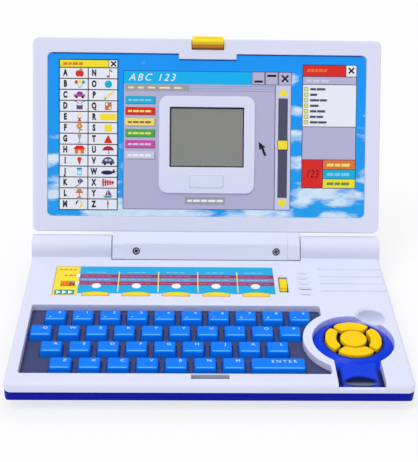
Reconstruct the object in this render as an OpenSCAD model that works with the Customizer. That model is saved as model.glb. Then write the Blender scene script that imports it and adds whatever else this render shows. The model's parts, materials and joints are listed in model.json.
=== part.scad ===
// Toy laptop computer, open. Millimetres, +Z up, +X to the user's right, the user sits on the -Y side.
// The origin is on the surface it stands on, at the middle of the open laptop's width and depth.
// Base parts are drawn from the hinge axis (y = 0) and the ground (z = 0).
// Lid parts are drawn lying flat: x across, y along the lid from the hinge axis, z out of the bezel.

/* [Base] */
// Width of the base and of the lid
body_w = 270; // [269:0.5:273]
// Distance from the hinge axis to the base's front edge
base_front = 167; // [166.5:0.5:169]
// Distance from the hinge axis to the base's rear edge
base_rear = 12; // [11.5:0.25:13]
// Height of the deck
deck_z = 21.5; // [21:0.25:21.5]
// Height of the joint between the blue and the white shell
parting_z = 14.5; // [14:0.25:14.5]
// Height at which the blue shell turns inwards
band_z = 8.3; // [7.5:0.1:9]
// Height of the blue shell's flat underside
underside_z = 1.5; // [1:0.25:2]
// How far the underside is set in from the sides
undercut = 10; // [8:0.5:10]
// Wall thickness of the base shells
wall = 2.2; // [1.8:0.1:2.4]

/* [Hinge] */
// Height of the hinge axis
hinge_z = 25.5; // [25.5:0.1:26]
// Radius of the two shoulders round the hinge axis
shoulder_r = 9.5; // [9:0.1:9.8]
// Half the width of the gap between the shoulders
neck_half = 73.4; // [73:0.1:74]
// Radius of the hinge pegs
peg_r = 3; // [2.5:0.1:3.5]
// Angle that the open lid leans back from upright
lid_lean = 27.4; // [15:0.1:35]

/* [Lid] */
// Distance from the hinge axis to the lid's far edge
lid_length = 161.8; // [161.5:0.1:162.5]
// Distance from the hinge axis to the panel's near edge
panel_start = 12; // [11.5:0.1:12.5]
// Height of the bezel above the hinge axis, lid lying flat
bezel_v = 3; // [2.6:0.1:3]
// Depth of the lid's back below the hinge axis
back_v = 9.5; // [9:0.1:10]
// Height of the printed card's seat
card_seat_v = 1.4; // [1.2:0.1:1.6]
// Thickness of the printed card
card_t = 0.4; // [0.3:0.1:0.6]

/* [Keyboard] */
// Width of a key's top
key_w = 14.2; // [13.5:0.1:14.6]
// Depth of a key's top
key_d = 12; // [11:0.1:12.5]
// Distance between keys along a row
key_pitch = 19.4; // [19.2:0.1:19.4]
// Distance between rows
row_pitch = 18.7; // [18.5:0.1:18.8]
// Height of the key tops
key_top_z = 20.5; // [20:0.1:20.8]
// Travel of a key
key_travel = 1.5; // [1:0.1:1.5]

/* [Controls] */
// Travel of a mode button
mode_travel = 1; // [0.6:0.1:1]
// Travel of a pad button
pad_travel = 1.2; // [0.8:0.1:1.2]
// Radius of the volume wheel
wheel_r = 9.5; // [9:0.1:9.5]
// Outer radius of the ring of four pad buttons
pad_ring_r = 19.7; // [19:0.1:20]
// Travel of the latch
latch_travel = 1.3; // [1.1:0.1:1.3]

/* [Hidden] */
$fn = 64;
thin_wall = 1.6;
half_w = body_w / 2;
play = 0.3;
far = 400;

// Centre of the open laptop's depth, measured from the hinge axis
lid_edge_r = 4;
lid_rear_y = (lid_length - lid_edge_r) * sin(lid_lean)
    + (back_v - lid_edge_r) * cos(lid_lean) + lid_edge_r;
hinge_y = (base_front - lid_rear_y) / 2;

// Base
corner_r = 5;
front_edge_r = 4;
side_edge_r = 2.5;
shoulder_edge_r = 1.5;
slope_z = 18;
trough_r = 13.4;
trough_wall = 1.6;
end_wall = 2.2;
peg_length = 9.4;
deck_under_z = deck_z - wall;
floor_z = underside_z + wall;

// Stack under the keys
plate_z = 16;
plate_t = 1.5;
flange_t = 1;
board_z = 7.4;
board_t = 1.6;
chip_xy = [-40, -112];
chip_r = 7;
board_x0 = -125;
board_x1 = 124;
board_y0 = -153;
sheet_t = 1;
dome_r = 3.5;
key_skirt = 0.5;
key_flange = 1.3;
key_gap = 0.4;
key_base_z = plate_z - plate_t - 0.05;

// Keyboard recess
recess_x0 = -126.7;
recess_x1 = 81;
recess_y0 = -155;
recess_y1 = -75;
row_y = -80.3;
row_x = [-115.9, -124.3, -115.1, -107.2];
row_keys = [10, 10, 9, 7];
enter_x0 = 28.4;
enter_x1 = 64.1;
rows = ["0123456789", "QWERTYUIOP", "ASDFGHJKL", "ZXCVBNM"];

// Direction pad and its well
pad_x = 100.2;
pad_y = -116.3;
well_r = 28.4;
well_ring_r = 35;
tail_x0 = 84;
tail_x1 = 115.5;
tail_y = -164.3;
tail_r = 1.5;
tail_z = 18.3;
tail_low_z = 15.4;
tail_slope = 4;
notch_z = 18;
dish_x = 117;
dish_y = -87.5;
dish_r = 9.6;
dish_rim_r = 11.6;
dish_rim_t = 1.6;
dish_z = 17.5;
insert_z = 16.2;
insert_t = 1.5;
insert_rim_z = 21.2;
pad_gap = 2.6;
pad_inner_r = 11.2;
pad_centre_r = 9.4;
pad_top_z = 23;
pad_centre_top_z = 23.2;
pad_web_z = 14;
pad_base_z = parting_z - insert_t - 0.05;
scoop_y = -160.6;
scoop_half = 12;
scoop_rise = 7.3;
scoop_fall = 3.2;
scoop_depth = 2.4;

// Deck controls
mode_x = [-82.4, -52.7, -23.1, 6.5, 36];
mode_w = 19.5;
mode_front_y = -63.1;
mode_d = 5.2;
mode_end_d = 3.2;
mode_foot_y = -64.4;
mode_top_z = 21.9;
mode_cap_t = 2.1;
label_x0 = -114.3;
label_x1 = 50.4;
label_y0 = -60;
label_y1 = -23.3;
label_t = 0.2;
label_tab_x1 = -96;
label_tab_y0 = -62.8;
switch_x0 = -109;
switch_x1 = -98.5;
switch_y0 = -51;
switch_y1 = -44;
knob_w = 6;
knob_top_z = 22.2;
switch_travel = 2.8;
wheel_x0 = 54.4;
wheel_x1 = 59.8;
wheel_y = -44.5;
wheel_z = 23.1 - wheel_r;
wheel_slot_y0 = -57.1;
wheel_slot_y1 = -35.6;
wheel_shaft_r = 1.5;
latch_slot_half = 12.6;
latch_slot_y0 = -160.6;
latch_slot_y1 = -156;

// Speaker and its openings
speaker_x = 90;
speaker_y = -42;
speaker_r = 19;
pill_x0 = 68.2;
pill_x1 = 78.4;
pill_w = 3.2;
pill_y = [-30.2, -37.4, -44.6, -51.8, -59];
groove_y = [-25.3, -35.6, -45.1, -55];
groove_x = 85;
groove_w = 1.5;
groove_depth = 1.1;
pill_depth = 0.8;

// Batteries and their bay
cell_r = 7;
cell_l = 49;
bay_x0 = -93;
bay_x1 = -37;
bay_y0 = -60.3;
bay_pitch = 14.9;
bay_y1 = bay_y0 + 3 * bay_pitch;
bay_top_z = 17.5;
door_t = 1.5;
door_screw = [-65, -64.2];

// Screws and feet
case_screws_xy = [[-124, -3], [124, -3], [-97, -69], [21.3, -69], [121.5, -151], [-118, -150]];
plate_screw = 5;
screw_r = 1.1;
screw_head_r = 2.7;
boss_meet_z = 9;
feet_xy = [[-112, -138], [112, -138], [-112, -18], [112, -18]];
foot_r = 6;

// Lid
lid_corner_r = 5;
bezel_edge_r = 1.2;
window_half = 123.7;
window_u0 = 23.8;
window_u1 = 150.3;
window_r = 4;
tab_half = 22.3;
tab_u = 146.1;
surround = [-37.4, 37.1, 42.2, 117.8];
surround_r = 7;
lcd = [-29.1, 28.7, 62.6, 109.2];
plaque = [-13.6, 12.7, 46.6, 56.4];
barrel_half = 72.9;
barrel_low = -9.2;
pad_face_v = 9.2;
pad_face_half = 63;
barrel_face_v = 8.4;
lid_screw_x = 54.3;
lid_screw_u = -2.8;
lid_screw_well_r = 2.9;
barrel_hollow_half = 48;
latch_half = 12.1;
latch_low_u = 154.8;
latch_pocket_u = 153.3;
latch_pocket_v = -3.4;

// ---------- placing and outlines ----------

module in_base() {
    translate([0, hinge_y, 0]) children();
}

module in_lid() {
    translate([0, hinge_y, hinge_z]) rotate([90 - lid_lean, 0, 0]) children();
}

module both_sides() {
    children();
    mirror([1, 0, 0]) children();
}

// Raises an outline drawn in y and z from x0 to x1
module along_x(x0, x1) {
    translate([x0, 0, 0]) rotate([90, 0, 90]) linear_extrude(x1 - x0) children();
}

// Raises an outline drawn in x and z from y0 to y1
module along_y(y0, y1) {
    translate([0, y1, 0]) rotate([90, 0, 0]) linear_extrude(y1 - y0) children();
}

module rise(z0, z1) {
    translate([0, 0, z0]) linear_extrude(z1 - z0) children();
}

module box(x0, x1, y0, y1, z0, z1) {
    translate([x0, y0, z0]) cube([x1 - x0, y1 - y0, z1 - z0]);
}

module post(x, y, z0, z1, r) {
    translate([x, y, z0]) cylinder(r = r, h = z1 - z0);
}

module rounded_rect(x0, x1, y0, y1, r) {
    translate([x0 + r, y0]) square([x1 - x0 - 2 * r, y1 - y0]);
    translate([x0, y0 + r]) square([x1 - x0, y1 - y0 - 2 * r]);
    for (x = [x0 + r, x1 - r], y = [y0 + r, y1 - r]) translate([x, y]) circle(r = r);
}

// Rectangle with its two upper corners rounded
module arch(a0, a1, b0, b1, r) {
    translate([a0, b0]) square([a1 - a0, b1 - b0 - r]);
    translate([a0 + r, b0]) square([a1 - a0 - 2 * r, b1 - b0]);
    for (a = [a0 + r, a1 - r]) translate([a, b1 - r]) circle(r = r);
}

// ---------- base outlines ----------

module base_plan(inset) {
    rounded_rect(-half_w + inset, half_w - inset, -base_front + inset, base_rear - inset, corner_r - inset);
}

module deck_block(inset) {
    top = deck_z - inset;
    intersection() {
        rise(parting_z, top) base_plan(inset);
        along_x(-half_w, half_w)
            arch(-base_front + inset, base_rear - inset, parting_z - 1, top, max(front_edge_r - inset, 0.5));
        along_y(-base_front, base_rear)
            arch(-half_w + inset, half_w - inset, parting_z - 1, top, max(side_edge_r - inset, 0.5));
    }
}

// Section of a shoulder: a round hump that slopes down to the rear wall
module shoulder_section(inset) {
    r = shoulder_r - inset;
    rear = base_rear - inset;
    meet_angle = 25;
    translate([0, hinge_z]) circle(r = r);
    polygon([
        [-r, parting_z], [-r, hinge_z], [0, hinge_z],
        [(r - 0.4) * cos(meet_angle), hinge_z + (r - 0.4) * sin(meet_angle)], [rear, slope_z], [rear, parting_z]
    ]);
}

module shoulder(inset) {
    intersection() {
        along_x(neck_half + inset, half_w - inset) shoulder_section(inset);
        along_y(-far, far)
            arch(-half_w + inset, half_w - inset, 0, hinge_z + shoulder_r - inset, shoulder_edge_r);
    }
}

module key_recess(grow) {
    difference() {
        rounded_rect(recess_x0 - grow, recess_x1 + grow, recess_y0 - grow, recess_y1 + grow, 2 + grow);
        translate([pad_x, pad_y]) circle(r = well_ring_r - grow);
    }
}

module pad_well(grow) {
    translate([pad_x, pad_y]) circle(r = well_r + grow);
    rounded_rect(tail_x0 - grow, tail_x1 + grow, tail_y - grow, pad_y, tail_r + max(grow, 0));
}

function arc_radius(half, rise) = (half * half + rise * rise) / (2 * rise);

// Rectangle whose rear side is a shallow arc
module mode_outline(x, grow) {
    r = arc_radius(mode_w / 2, mode_d - mode_end_d);
    intersection() {
        translate([x, mode_front_y + mode_d - r]) circle(r = r + grow);
        translate([x - mode_w / 2 - grow, mode_front_y - grow]) square([mode_w + 2 * grow, mode_d + 2 * grow]);
    }
}

// ---------- base shells ----------

module deck_cavity() {
    difference() {
        deck_block(wall);
        rise(plate_z, deck_z) key_recess(thin_wall);
        rise(parting_z - 1, deck_z) pad_well(thin_wall);
        post(dish_x, dish_y, dish_z - thin_wall, deck_z, dish_r + thin_wall);
        post(dish_x, dish_y, deck_z - dish_rim_t - thin_wall, deck_z, dish_rim_r + thin_wall);
    }
    box(-half_w + wall, half_w - wall, -base_front + wall, base_rear - wall, parting_z - 1, parting_z + 0.01);
}

// Curved wall under the lid's barrel, with the shoulders' inner ends
module trough() {
    rear = base_rear - wall;
    intersection() {
        along_x(-neck_half - end_wall, neck_half + end_wall)
            translate([0, hinge_z]) circle(r = trough_r + trough_wall);
        union() {
            box(-half_w, half_w, -far, rear - 0.1, 0, deck_z - 0.5);
            box(-half_w, half_w, -far, rear + 0.5, parting_z, deck_z - 0.5);
        }
    }
    both_sides() along_x(neck_half, neck_half + end_wall) shoulder_section(0);
}

module top_bosses() {
    for (i = [0:len(case_screws_xy) - 1]) if (i != plate_screw) {
        p = case_screws_xy[i];
        under_shoulder = p[1] > -shoulder_r;
        post(p[0], p[1], boss_meet_z, under_shoulder ? hinge_z + 5.5 : deck_z - 1, 3.2);
    }
}

module deck_openings() {
    rise(plate_z - 1, far) key_recess(0);
    rise(0, far) pad_well(0);
    post(dish_x, dish_y, dish_z, deck_z + 1, dish_r);
    translate([dish_x, dish_y, deck_z - dish_rim_t])
        cylinder(r1 = dish_r, r2 = dish_rim_r, h = dish_rim_t + 0.01);
    along_x(-neck_half, neck_half) translate([0, hinge_z]) circle(r = trough_r);
    box(tail_x0, tail_x1, -base_front - 1, tail_y + tail_r, notch_z, far);
    box(-latch_slot_half, latch_slot_half, latch_slot_y0, latch_slot_y1, parting_z, far);
    box(switch_x0, switch_x1, switch_y0, switch_y1, parting_z, far);
    box(wheel_x0 - 0.6, wheel_x1 + 0.6, wheel_slot_y0, wheel_slot_y1, parting_z, far);
    for (x = mode_x) rise(parting_z, far) mode_outline(x, play);
    for (y = pill_y) {
        rise(deck_z - pill_depth, far)
            rounded_rect(pill_x0, pill_x1, y - pill_w / 2, y + pill_w / 2, pill_w / 2 - 0.01);
        box(pill_x0 + pill_w / 2, pill_x1 - pill_w / 2, y - 0.5, y + 0.5, parting_z, far);
    }
    for (y = groove_y)
        box(groove_x, half_w + 1, y - groove_w / 2, y + groove_w / 2, deck_z - groove_depth, far);
    for (i = [0:len(case_screws_xy) - 1]) if (i != plate_screw)
        post(case_screws_xy[i][0], case_screws_xy[i][1], boss_meet_z - 1, deck_under_z - 1, screw_r + 0.05);
}

module base_top() {
    color([0.86, 0.87, 0.96]) {
        difference() {
            union() {
                difference() {
                    union() {
                        deck_block(0);
                        both_sides() shoulder(0);
                    }
                    deck_cavity();
                    both_sides() shoulder(wall);
                }
                trough();
                top_bosses();
            }
            deck_openings();
        }
        both_sides() along_x(neck_half - peg_length, neck_half + 1)
            translate([0, hinge_z]) circle(r = peg_r);
    }
}

module tub(inset) {
    low = underside_z + inset;
    slope = undercut + inset * 0.4;
    intersection() {
        rise(low, parting_z) base_plan(inset);
        along_x(-half_w, half_w) polygon([
            [-base_front + inset, parting_z], [-base_front + inset, band_z + inset * 0.4],
            [-base_front + slope, low], [base_rear - slope, low],
            [base_rear - inset, band_z + inset * 0.4], [base_rear - inset, parting_z]
        ]);
        along_y(-base_front, base_rear) polygon([
            [-half_w + inset, parting_z], [-half_w + inset, band_z + inset * 0.4],
            [-half_w + slope, low], [half_w - slope, low],
            [half_w - inset, band_z + inset * 0.4], [half_w - inset, parting_z]
        ]);
    }
}

module base_bottom() {
    bay_wall = 1.5;
    color([0.02, 0.12, 0.65]) difference() {
        union() {
            difference() {
                tub(0);
                tub(wall);
                rise(parting_z - 0.01, parting_z + 1) base_plan(wall);
            }
            box(bay_x0 - bay_wall, bay_x1 + bay_wall, bay_y0 - 1, bay_y1 + 1, underside_z, bay_top_z + 1);
            for (p = case_screws_xy) post(p[0], p[1], underside_z, boss_meet_z, 4.2);
            post(door_screw[0], door_screw[1], underside_z, board_z - 0.2, 3.2);
            for (x = [-112, -40, 40, 100], y = [-145, -75]) post(x, y, underside_z, board_z, 2.5);
        }
        box(bay_x0, bay_x1, bay_y0, bay_y1, 0, bay_top_z);
        box(bay_x0 - 2, bay_x1 + 2, bay_y0 - 7.2, bay_y1 + 2, 0, underside_z + door_t);
        post(door_screw[0], door_screw[1], 0, board_z, screw_r + 0.05);
        for (p = case_screws_xy) {
            post(p[0], p[1], 0, 5, screw_head_r + play);
            post(p[0], p[1], 0, boss_meet_z + 1, screw_r + 0.4);
        }
        for (p = feet_xy) post(p[0], p[1], 0, underside_z + 0.5, foot_r);
    }
}

module battery_door() {
    color([0.02, 0.1, 0.55]) difference() {
        union() {
            box(bay_x0 - 1.8, bay_x1 + 1.8, bay_y0 - 7, bay_y1 + 1.8, underside_z, underside_z + door_t - 0.05);
            for (y = [bay_y0 + bay_pitch, bay_y0 + 2 * bay_pitch])
                box(bay_x0 + 4, bay_x1 - 4, y - 0.6, y + 0.6, underside_z + door_t - 0.1, underside_z + door_t + 1.2);
        }
        post(door_screw[0], door_screw[1], 0, underside_z + 0.9, screw_head_r + play);
        post(door_screw[0], door_screw[1], 0, far, screw_r + 0.4);
    }
}

module self_tapper(p, head_z, top_z, head_t) {
    difference() {
        post(p[0], p[1], head_z - head_t, head_z, screw_head_r);
        for (a = [0, 90])
            translate([p[0], p[1], head_z - head_t]) rotate([0, 0, a]) cube([3, 0.7, head_t], center = true);
    }
    post(p[0], p[1], head_z, top_z, screw_r);
}

module bottom_screws() {
    color("silver") {
        for (i = [0:len(case_screws_xy) - 1])
            self_tapper(case_screws_xy[i], 5, i == plate_screw ? 14 : 17, 1.4);
        self_tapper(door_screw, underside_z + 0.85, board_z - 0.4, 0.85);
    }
}

module feet() {
    color([0.12, 0.12, 0.13]) for (p = feet_xy) post(p[0], p[1], 0, underside_z + 0.5, foot_r);
}

// ---------- inside the base ----------

// The board stops short of the battery bay, with an arm on each side for the switch and the wheel
module board_plan() {
    front_y1 = bay_y0 - 1.4;
    translate([board_x0, board_y0]) square([board_x1 - board_x0, front_y1 - board_y0]);
    translate([board_x0, front_y1 - 1]) square([29, 25]);
    translate([46, front_y1 - 1]) square([22, 31]);
}

module main_board() {
    top = board_z + board_t;
    shaft_z = wheel_z;
    color([0.1, 0.45, 0.2]) difference() {
        union() {
            rise(board_z, top) board_plan();
            for (x = [50.2, 61])
                box(x, x + 3, wheel_y - 4, wheel_y + 4, top - 0.1, shaft_z + 3.5);
            box(switch_x0 - 1, switch_x1 + 1.5, switch_y0 - 1, switch_y1 + 1, top - 0.1, deck_under_z - 1.6);
            post(chip_xy[0], chip_xy[1], top - 1, top + 0.8, chip_r);
        }
        box(wheel_x0 - 0.9, wheel_x1 + 0.9, wheel_y - wheel_r - 0.8, wheel_y + wheel_r + 0.8, 0, top + 0.5);
        along_x(50, 65) translate([wheel_y, shaft_z]) circle(r = wheel_shaft_r + 0.05);
        for (p = case_screws_xy) post(p[0], p[1], 0, far, 4.8);
    }
}

module key_domes() {
    low = board_z + board_t;
    dome_h = key_base_z - flange_t - key_travel - 0.05 - low;
    for (r = [0:3], k = [0:row_keys[r] - 1])
        translate([row_x[r] + k * key_pitch + key_w / 2, row_y - r * row_pitch - key_d / 2, low])
            cylinder(r1 = dome_r, r2 = 2, h = dome_h);
    for (x = [enter_x0 + 8, enter_x1 - 8])
        translate([x, row_y - 3 * row_pitch - key_d / 2, low]) cylinder(r1 = dome_r, r2 = 2, h = dome_h);
    for (x = mode_x) translate([x, mode_foot_y, low]) cylinder(r1 = 2.4, r2 = 1.8, h = dome_h);
}

module pad_domes() {
    low = board_z + board_t;
    dome_h = pad_base_z - flange_t - pad_travel - 0.05 - low;
    for (a = [0:90:270]) translate([pad_x, pad_y, low]) rotate([0, 0, a]) translate([15.4, 0, 0])
        cylinder(r1 = dome_r, r2 = 2, h = dome_h);
    translate([pad_x, pad_y, low]) cylinder(r1 = dome_r, r2 = 2, h = dome_h);
}

module key_membrane() {
    low = board_z + board_t;
    color([0.75, 0.75, 0.78]) difference() {
        union() {
            rise(low, low + sheet_t) {
                translate([-124, -152]) square([191, 90]);
                translate([60, pad_y - 10]) square([40, 20]);
                translate([pad_x, pad_y]) circle(r = 23);
            }
            key_domes();
            pad_domes();
        }
        for (p = case_screws_xy) post(p[0], p[1], 0, far, 4.8);
        translate([chip_xy[0], chip_xy[1], 0]) linear_extrude(low + 0.9) square(2 * chip_r + 2, center = true);
    }
}

module key_plate() {
    low = plate_z - plate_t;
    p = case_screws_xy[plate_screw];
    color([0.33, 0.35, 0.49]) difference() {
        union() {
            rise(low, plate_z) key_recess(1);
            post(p[0], p[1], boss_meet_z, low + 0.1, 3.2);
        }
        for (r = [0:3], k = [0:row_keys[r] - 1])
            key_window(row_x[r] + k * key_pitch, row_x[r] + k * key_pitch + key_w, row_y - r * row_pitch);
        key_window(enter_x0, enter_x1, row_y - 3 * row_pitch);
        post(p[0], p[1], boss_meet_z - 1, low + 0.2, screw_r + 0.05);
    }
}

module key_window(x0, x1, y1) {
    s = key_skirt + key_gap;
    box(x0 - s, x1 + s, y1 - key_d - s, y1 + s, plate_z - plate_t - 1, plate_z + 1);
}

module pad_sector(a, r0, r1, gap) {
    intersection() {
        difference() {
            circle(r = r1);
            circle(r = r0);
        }
        rotate([0, 0, a]) translate([gap / sqrt(2), 0]) rotate([0, 0, -45]) square([40, 40]);
    }
}

// Lens between an upper and a lower arc that meet at its two tips
module scoop_outline() {
    upper_r = arc_radius(scoop_half, scoop_rise);
    lower_r = arc_radius(scoop_half, scoop_fall);
    intersection() {
        translate([(tail_x0 + tail_x1) / 2, scoop_y + scoop_rise - upper_r]) circle(r = upper_r);
        translate([(tail_x0 + tail_x1) / 2, scoop_y - scoop_fall + lower_r]) circle(r = lower_r);
    }
}

// A bowl that rises to a rim round the buttons, and a tail with sloping sides
module pad_insert() {
    low = parting_z - insert_t;
    inset = 0.5;
    color([0.02, 0.25, 0.88]) difference() {
        union() {
            rise(low, parting_z) intersection() {
                pad_well(thin_wall - 0.2);
                base_plan(wall + play);
            }
            rise(parting_z - 0.1, tail_low_z) pad_well(-inset);
            post(pad_x, pad_y, parting_z, insert_z, well_r - inset);
            translate([pad_x, pad_y, insert_z - 0.01])
                cylinder(r1 = well_r - inset, r2 = pad_ring_r + 1.4, h = insert_rim_z - insert_z);
            along_y(tail_y + inset, pad_y - pad_ring_r) polygon([
                [tail_x0 + inset, parting_z], [tail_x0 + inset, tail_low_z], [tail_x0 + tail_slope, tail_z],
                [tail_x1 - tail_slope, tail_z], [tail_x1 - inset, tail_low_z], [tail_x1 - inset, parting_z]
            ]);
        }
        translate([pad_x, pad_y]) {
            rise(pad_web_z, far) circle(r = pad_ring_r + 0.5);
            rise(0, far) circle(r = pad_centre_r + play);
            for (a = [0:90:270]) rise(0, far)
                pad_sector(a, pad_inner_r - play, pad_ring_r + play, pad_gap / 2 - play);
        }
        rise(tail_z - scoop_depth, far) scoop_outline();
    }
}

module strip_label() {
    color([0.05, 0.65, 0.9]) rise(deck_z, deck_z + label_t) difference() {
        union() {
            translate([label_x0, label_y0]) square([label_x1 - label_x0, label_y1 - label_y0]);
            translate([label_x0, label_tab_y0]) square([label_tab_x1 - label_x0, label_y0 - label_tab_y0 + 1]);
        }
        translate([switch_x0, switch_y0]) square([switch_x1 - switch_x0, switch_y1 - switch_y0]);
        for (x = mode_x) mode_outline(x, play + 0.2);
    }
}

module speaker() {
    color([0.2, 0.2, 0.22]) translate([speaker_x, speaker_y, 0]) difference() {
        union() {
            translate([0, 0, 15.6]) cylinder(r1 = speaker_r - 4, r2 = speaker_r, h = 2.5);
            translate([0, 0, 18]) cylinder(r = speaker_r, h = deck_under_z - 18);
            translate([0, 0, 11]) cylinder(r = 10, h = 4.7);
        }
        translate([0, 0, 16.6]) cylinder(r1 = 6, r2 = speaker_r - 2, h = 3);
    }
}

module cell(x, y, turned) {
    z = underside_z + door_t + 0.2 + cell_r;
    translate([x, y, z]) mirror([turned ? 1 : 0, 0, 0]) rotate([0, 90, 0]) {
        translate([0, 0, -cell_l / 2]) cylinder(r = cell_r, h = cell_l);
        translate([0, 0, cell_l / 2 - 0.1]) cylinder(r = 2.7, h = 1.4);
    }
}

cell_x = (bay_x0 + bay_x1) / 2;

module batteries() {
    color([0.85, 0.6, 0.15]) for (i = [0:2])
        cell(cell_x, bay_y0 + (i + 0.5) * bay_pitch, i == 1);
}

module contact_spring(gap) {
    for (i = [0:2]) translate([0, 0, 0.7 + i * gap / 3.4]) rotate_extrude()
        translate([4 - 0.5 * i, 0]) circle(r = 0.5, $fn = 16);
}

module battery_contacts() {
    z = underside_z + door_t + 0.2 + cell_r;
    color("silver") for (i = [0:2]) {
        y = bay_y0 + (i + 0.5) * bay_pitch;
        side = i == 1 ? -1 : 1;
        for (s = [-1, 1]) translate([cell_x + s * (bay_x1 - bay_x0 - 0.8) / 2, y, z])
            cube([0.7, 10, 10], center = true);
        translate([cell_x - side * (bay_x1 - bay_x0 - 1.5) / 2, y, z]) rotate([0, side * 90, 0]) contact_spring(2.4);
    }
}

// ---------- keys and controls ----------

// Tapered cap with flat sides, drawn from its top face
module taper_block(x0, x1, y0, y1, z0, z1, spread) {
    intersection() {
        along_y(y0 - spread, y1 + spread)
            polygon([[x0 - spread, z0], [x1 + spread, z0], [x1, z1], [x0, z1]]);
        along_x(x0 - spread, x1 + spread)
            polygon([[y0 - spread, z0], [y1 + spread, z0], [y1, z1], [y0, z1]]);
    }
}

module key_cap(x0, x1, y1) {
    y0 = y1 - key_d;
    low = key_base_z;
    out = key_skirt + key_flange;
    side = 1.3;
    color([0, 0.47, 0.98]) {
        difference() {
            union() {
                taper_block(x0, x1, y0, y1, low - flange_t + 0.1, key_top_z, key_skirt);
                box(x0 - out, x1 + out, y0 - out, y1 + out, low - flange_t, low);
            }
            taper_block(x0 + side, x1 - side, y0 + side, y1 - side, low - flange_t - 1, key_top_z - 1.6, key_skirt);
        }
        post((x0 + x1) / 2, (y0 + y1) / 2, low - flange_t, key_top_z - 1, 1.8);
    }
}

module row_key(r, k) {
    x = row_x[r] + k * key_pitch;
    key_cap(x, x + key_w, row_y - r * row_pitch);
}

module number_keys() {
    for (k = [0:9]) row_key(0, k);
}

module key_enter() {
    key_cap(enter_x0, enter_x1, row_y - 3 * row_pitch);
}

module mode_button(x) {
    foot_z = board_z + board_t + 4.1;
    color([1, 0.85, 0.1]) {
        rise(mode_top_z - mode_cap_t, mode_top_z) mode_outline(x, 0);
        box(x - mode_w / 2 + 0.5, x + mode_w / 2 - 0.5, mode_foot_y - 2, mode_foot_y + 2.2,
            deck_under_z - 1.1, deck_under_z - 0.1);
        box(x - 2, x + 2, mode_foot_y - 1, mode_foot_y + 1, foot_z, deck_under_z - 1);
        box(x - mode_w / 2 + 0.5, x + mode_w / 2 - 0.5, mode_front_y, mode_front_y + 1.2,
            deck_under_z - 0.2, mode_top_z - mode_cap_t + 0.1);
    }
}

module pad_button(a) {
    color([1, 0.8, 0.05]) translate([pad_x, pad_y, 0]) {
        rise(pad_base_z - flange_t, pad_top_z) pad_sector(a, pad_inner_r, pad_ring_r, pad_gap / 2);
        rise(pad_base_z - flange_t, pad_base_z) pad_sector(a, pad_inner_r, pad_ring_r + 1.4, pad_gap / 2);
    }
}

module pad_centre() {
    color([1, 0.8, 0.05]) translate([pad_x, pad_y, 0]) {
        post(0, 0, pad_base_z - flange_t, pad_centre_top_z, pad_centre_r);
        post(0, 0, pad_base_z - flange_t, pad_base_z, pad_centre_r + 0.8);
    }
}

module power_switch() {
    x0 = switch_x0 + 0.6;
    flange_z = deck_under_z - 0.1;
    color([1, 0.5, 0.05]) {
        difference() {
            box(x0, x0 + knob_w, switch_y0 + 0.6, switch_y1 - 0.6, flange_z - 0.5, knob_top_z);
            for (x = [x0 + 1.5, x0 + 3, x0 + 4.5])
                box(x - 0.3, x + 0.3, switch_y0, switch_y1, knob_top_z - 0.5, knob_top_z + 1);
        }
        box(x0 - 2.5, x0 + knob_w + 2.5, switch_y0 - 1, switch_y1 + 1, flange_z - 1, flange_z);
    }
}

module volume_wheel() {
    color([1, 0.9, 0.1]) {
        along_x(wheel_x0, wheel_x1) translate([wheel_y, wheel_z]) difference() {
            circle(r = wheel_r);
            for (a = [0:15:345]) rotate([0, 0, a]) translate([wheel_r + 0.35, 0]) circle(r = 0.8, $fn = 16);
        }
        along_x(wheel_x0 - 3.4, wheel_x1 + 3.4) translate([wheel_y, wheel_z]) circle(r = wheel_shaft_r);
    }
}

module latch() {
    color([1, 0.85, 0.05]) difference() {
        union() {
            along_x(-latch_half, latch_half) polygon([
                [latch_low_u, -3], [latch_low_u, 1.2], [157.5, 3.9], [158.3, 6], [158.8, 7.8], [160.2, 7.8],
                [161.3, 7.2], [161.3, 6.5], [160.2, 6.5], [160.2, 3.7], [162.4, 3.7], [163.8, 2.6], [163.8, -3]
            ]);
            box(-latch_half - 1.4, latch_half + 1.4, latch_low_u, 161, -2.6, -1.2);
        }
        for (u = [161.2, 162.3]) box(-latch_half + 2, latch_half - 2, u - 0.25, u + 0.25, 3.2, 5);
    }
}

// ---------- lid ----------

module panel(v0, v1, inset, edge_r) {
    u0 = panel_start + inset;
    u1 = lid_length - inset;
    intersection() {
        rise(v0, v1) rounded_rect(-half_w + inset, half_w - inset, u0, u1, lid_corner_r - inset);
        along_x(-half_w, half_w) arch(u0, u1, v0, v1, edge_r);
        along_y(0, lid_length) arch(-half_w + inset, half_w - inset, v0, v1, edge_r);
    }
}

module window(grow) {
    difference() {
        rounded_rect(-window_half - grow, window_half + grow, window_u0 - grow, window_u1 + grow, window_r + grow);
        translate([-tab_half + grow, tab_u + grow]) square([2 * tab_half - 2 * grow, 20]);
    }
}

module frame_rect(r, grow, radius) {
    rounded_rect(r[0] - grow, r[1] + grow, r[2] - grow, r[3] + grow, radius);
}

module latch_pocket() {
    box(-latch_half - 0.4, latch_half + 0.4, latch_pocket_u, lid_length + 1, latch_pocket_v, bezel_v + 1);
}

module peg_bores() {
    both_sides() along_x(neck_half - peg_length - 0.6, barrel_half + 1) circle(r = peg_r + 0.05);
}

module barrel_front() {
    along_x(-barrel_half, barrel_half) polygon([
        [-shoulder_r, 0], [barrel_low, barrel_face_v], [2.4, barrel_face_v],
        [panel_start, bezel_v], [panel_start + 1, 0]
    ]);
    along_x(-pad_face_half, pad_face_half) polygon([
        [-shoulder_r, 0], [barrel_low, pad_face_v], [3.1, pad_face_v],
        [panel_start, bezel_v], [panel_start + 1, 0]
    ]);
}

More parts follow.
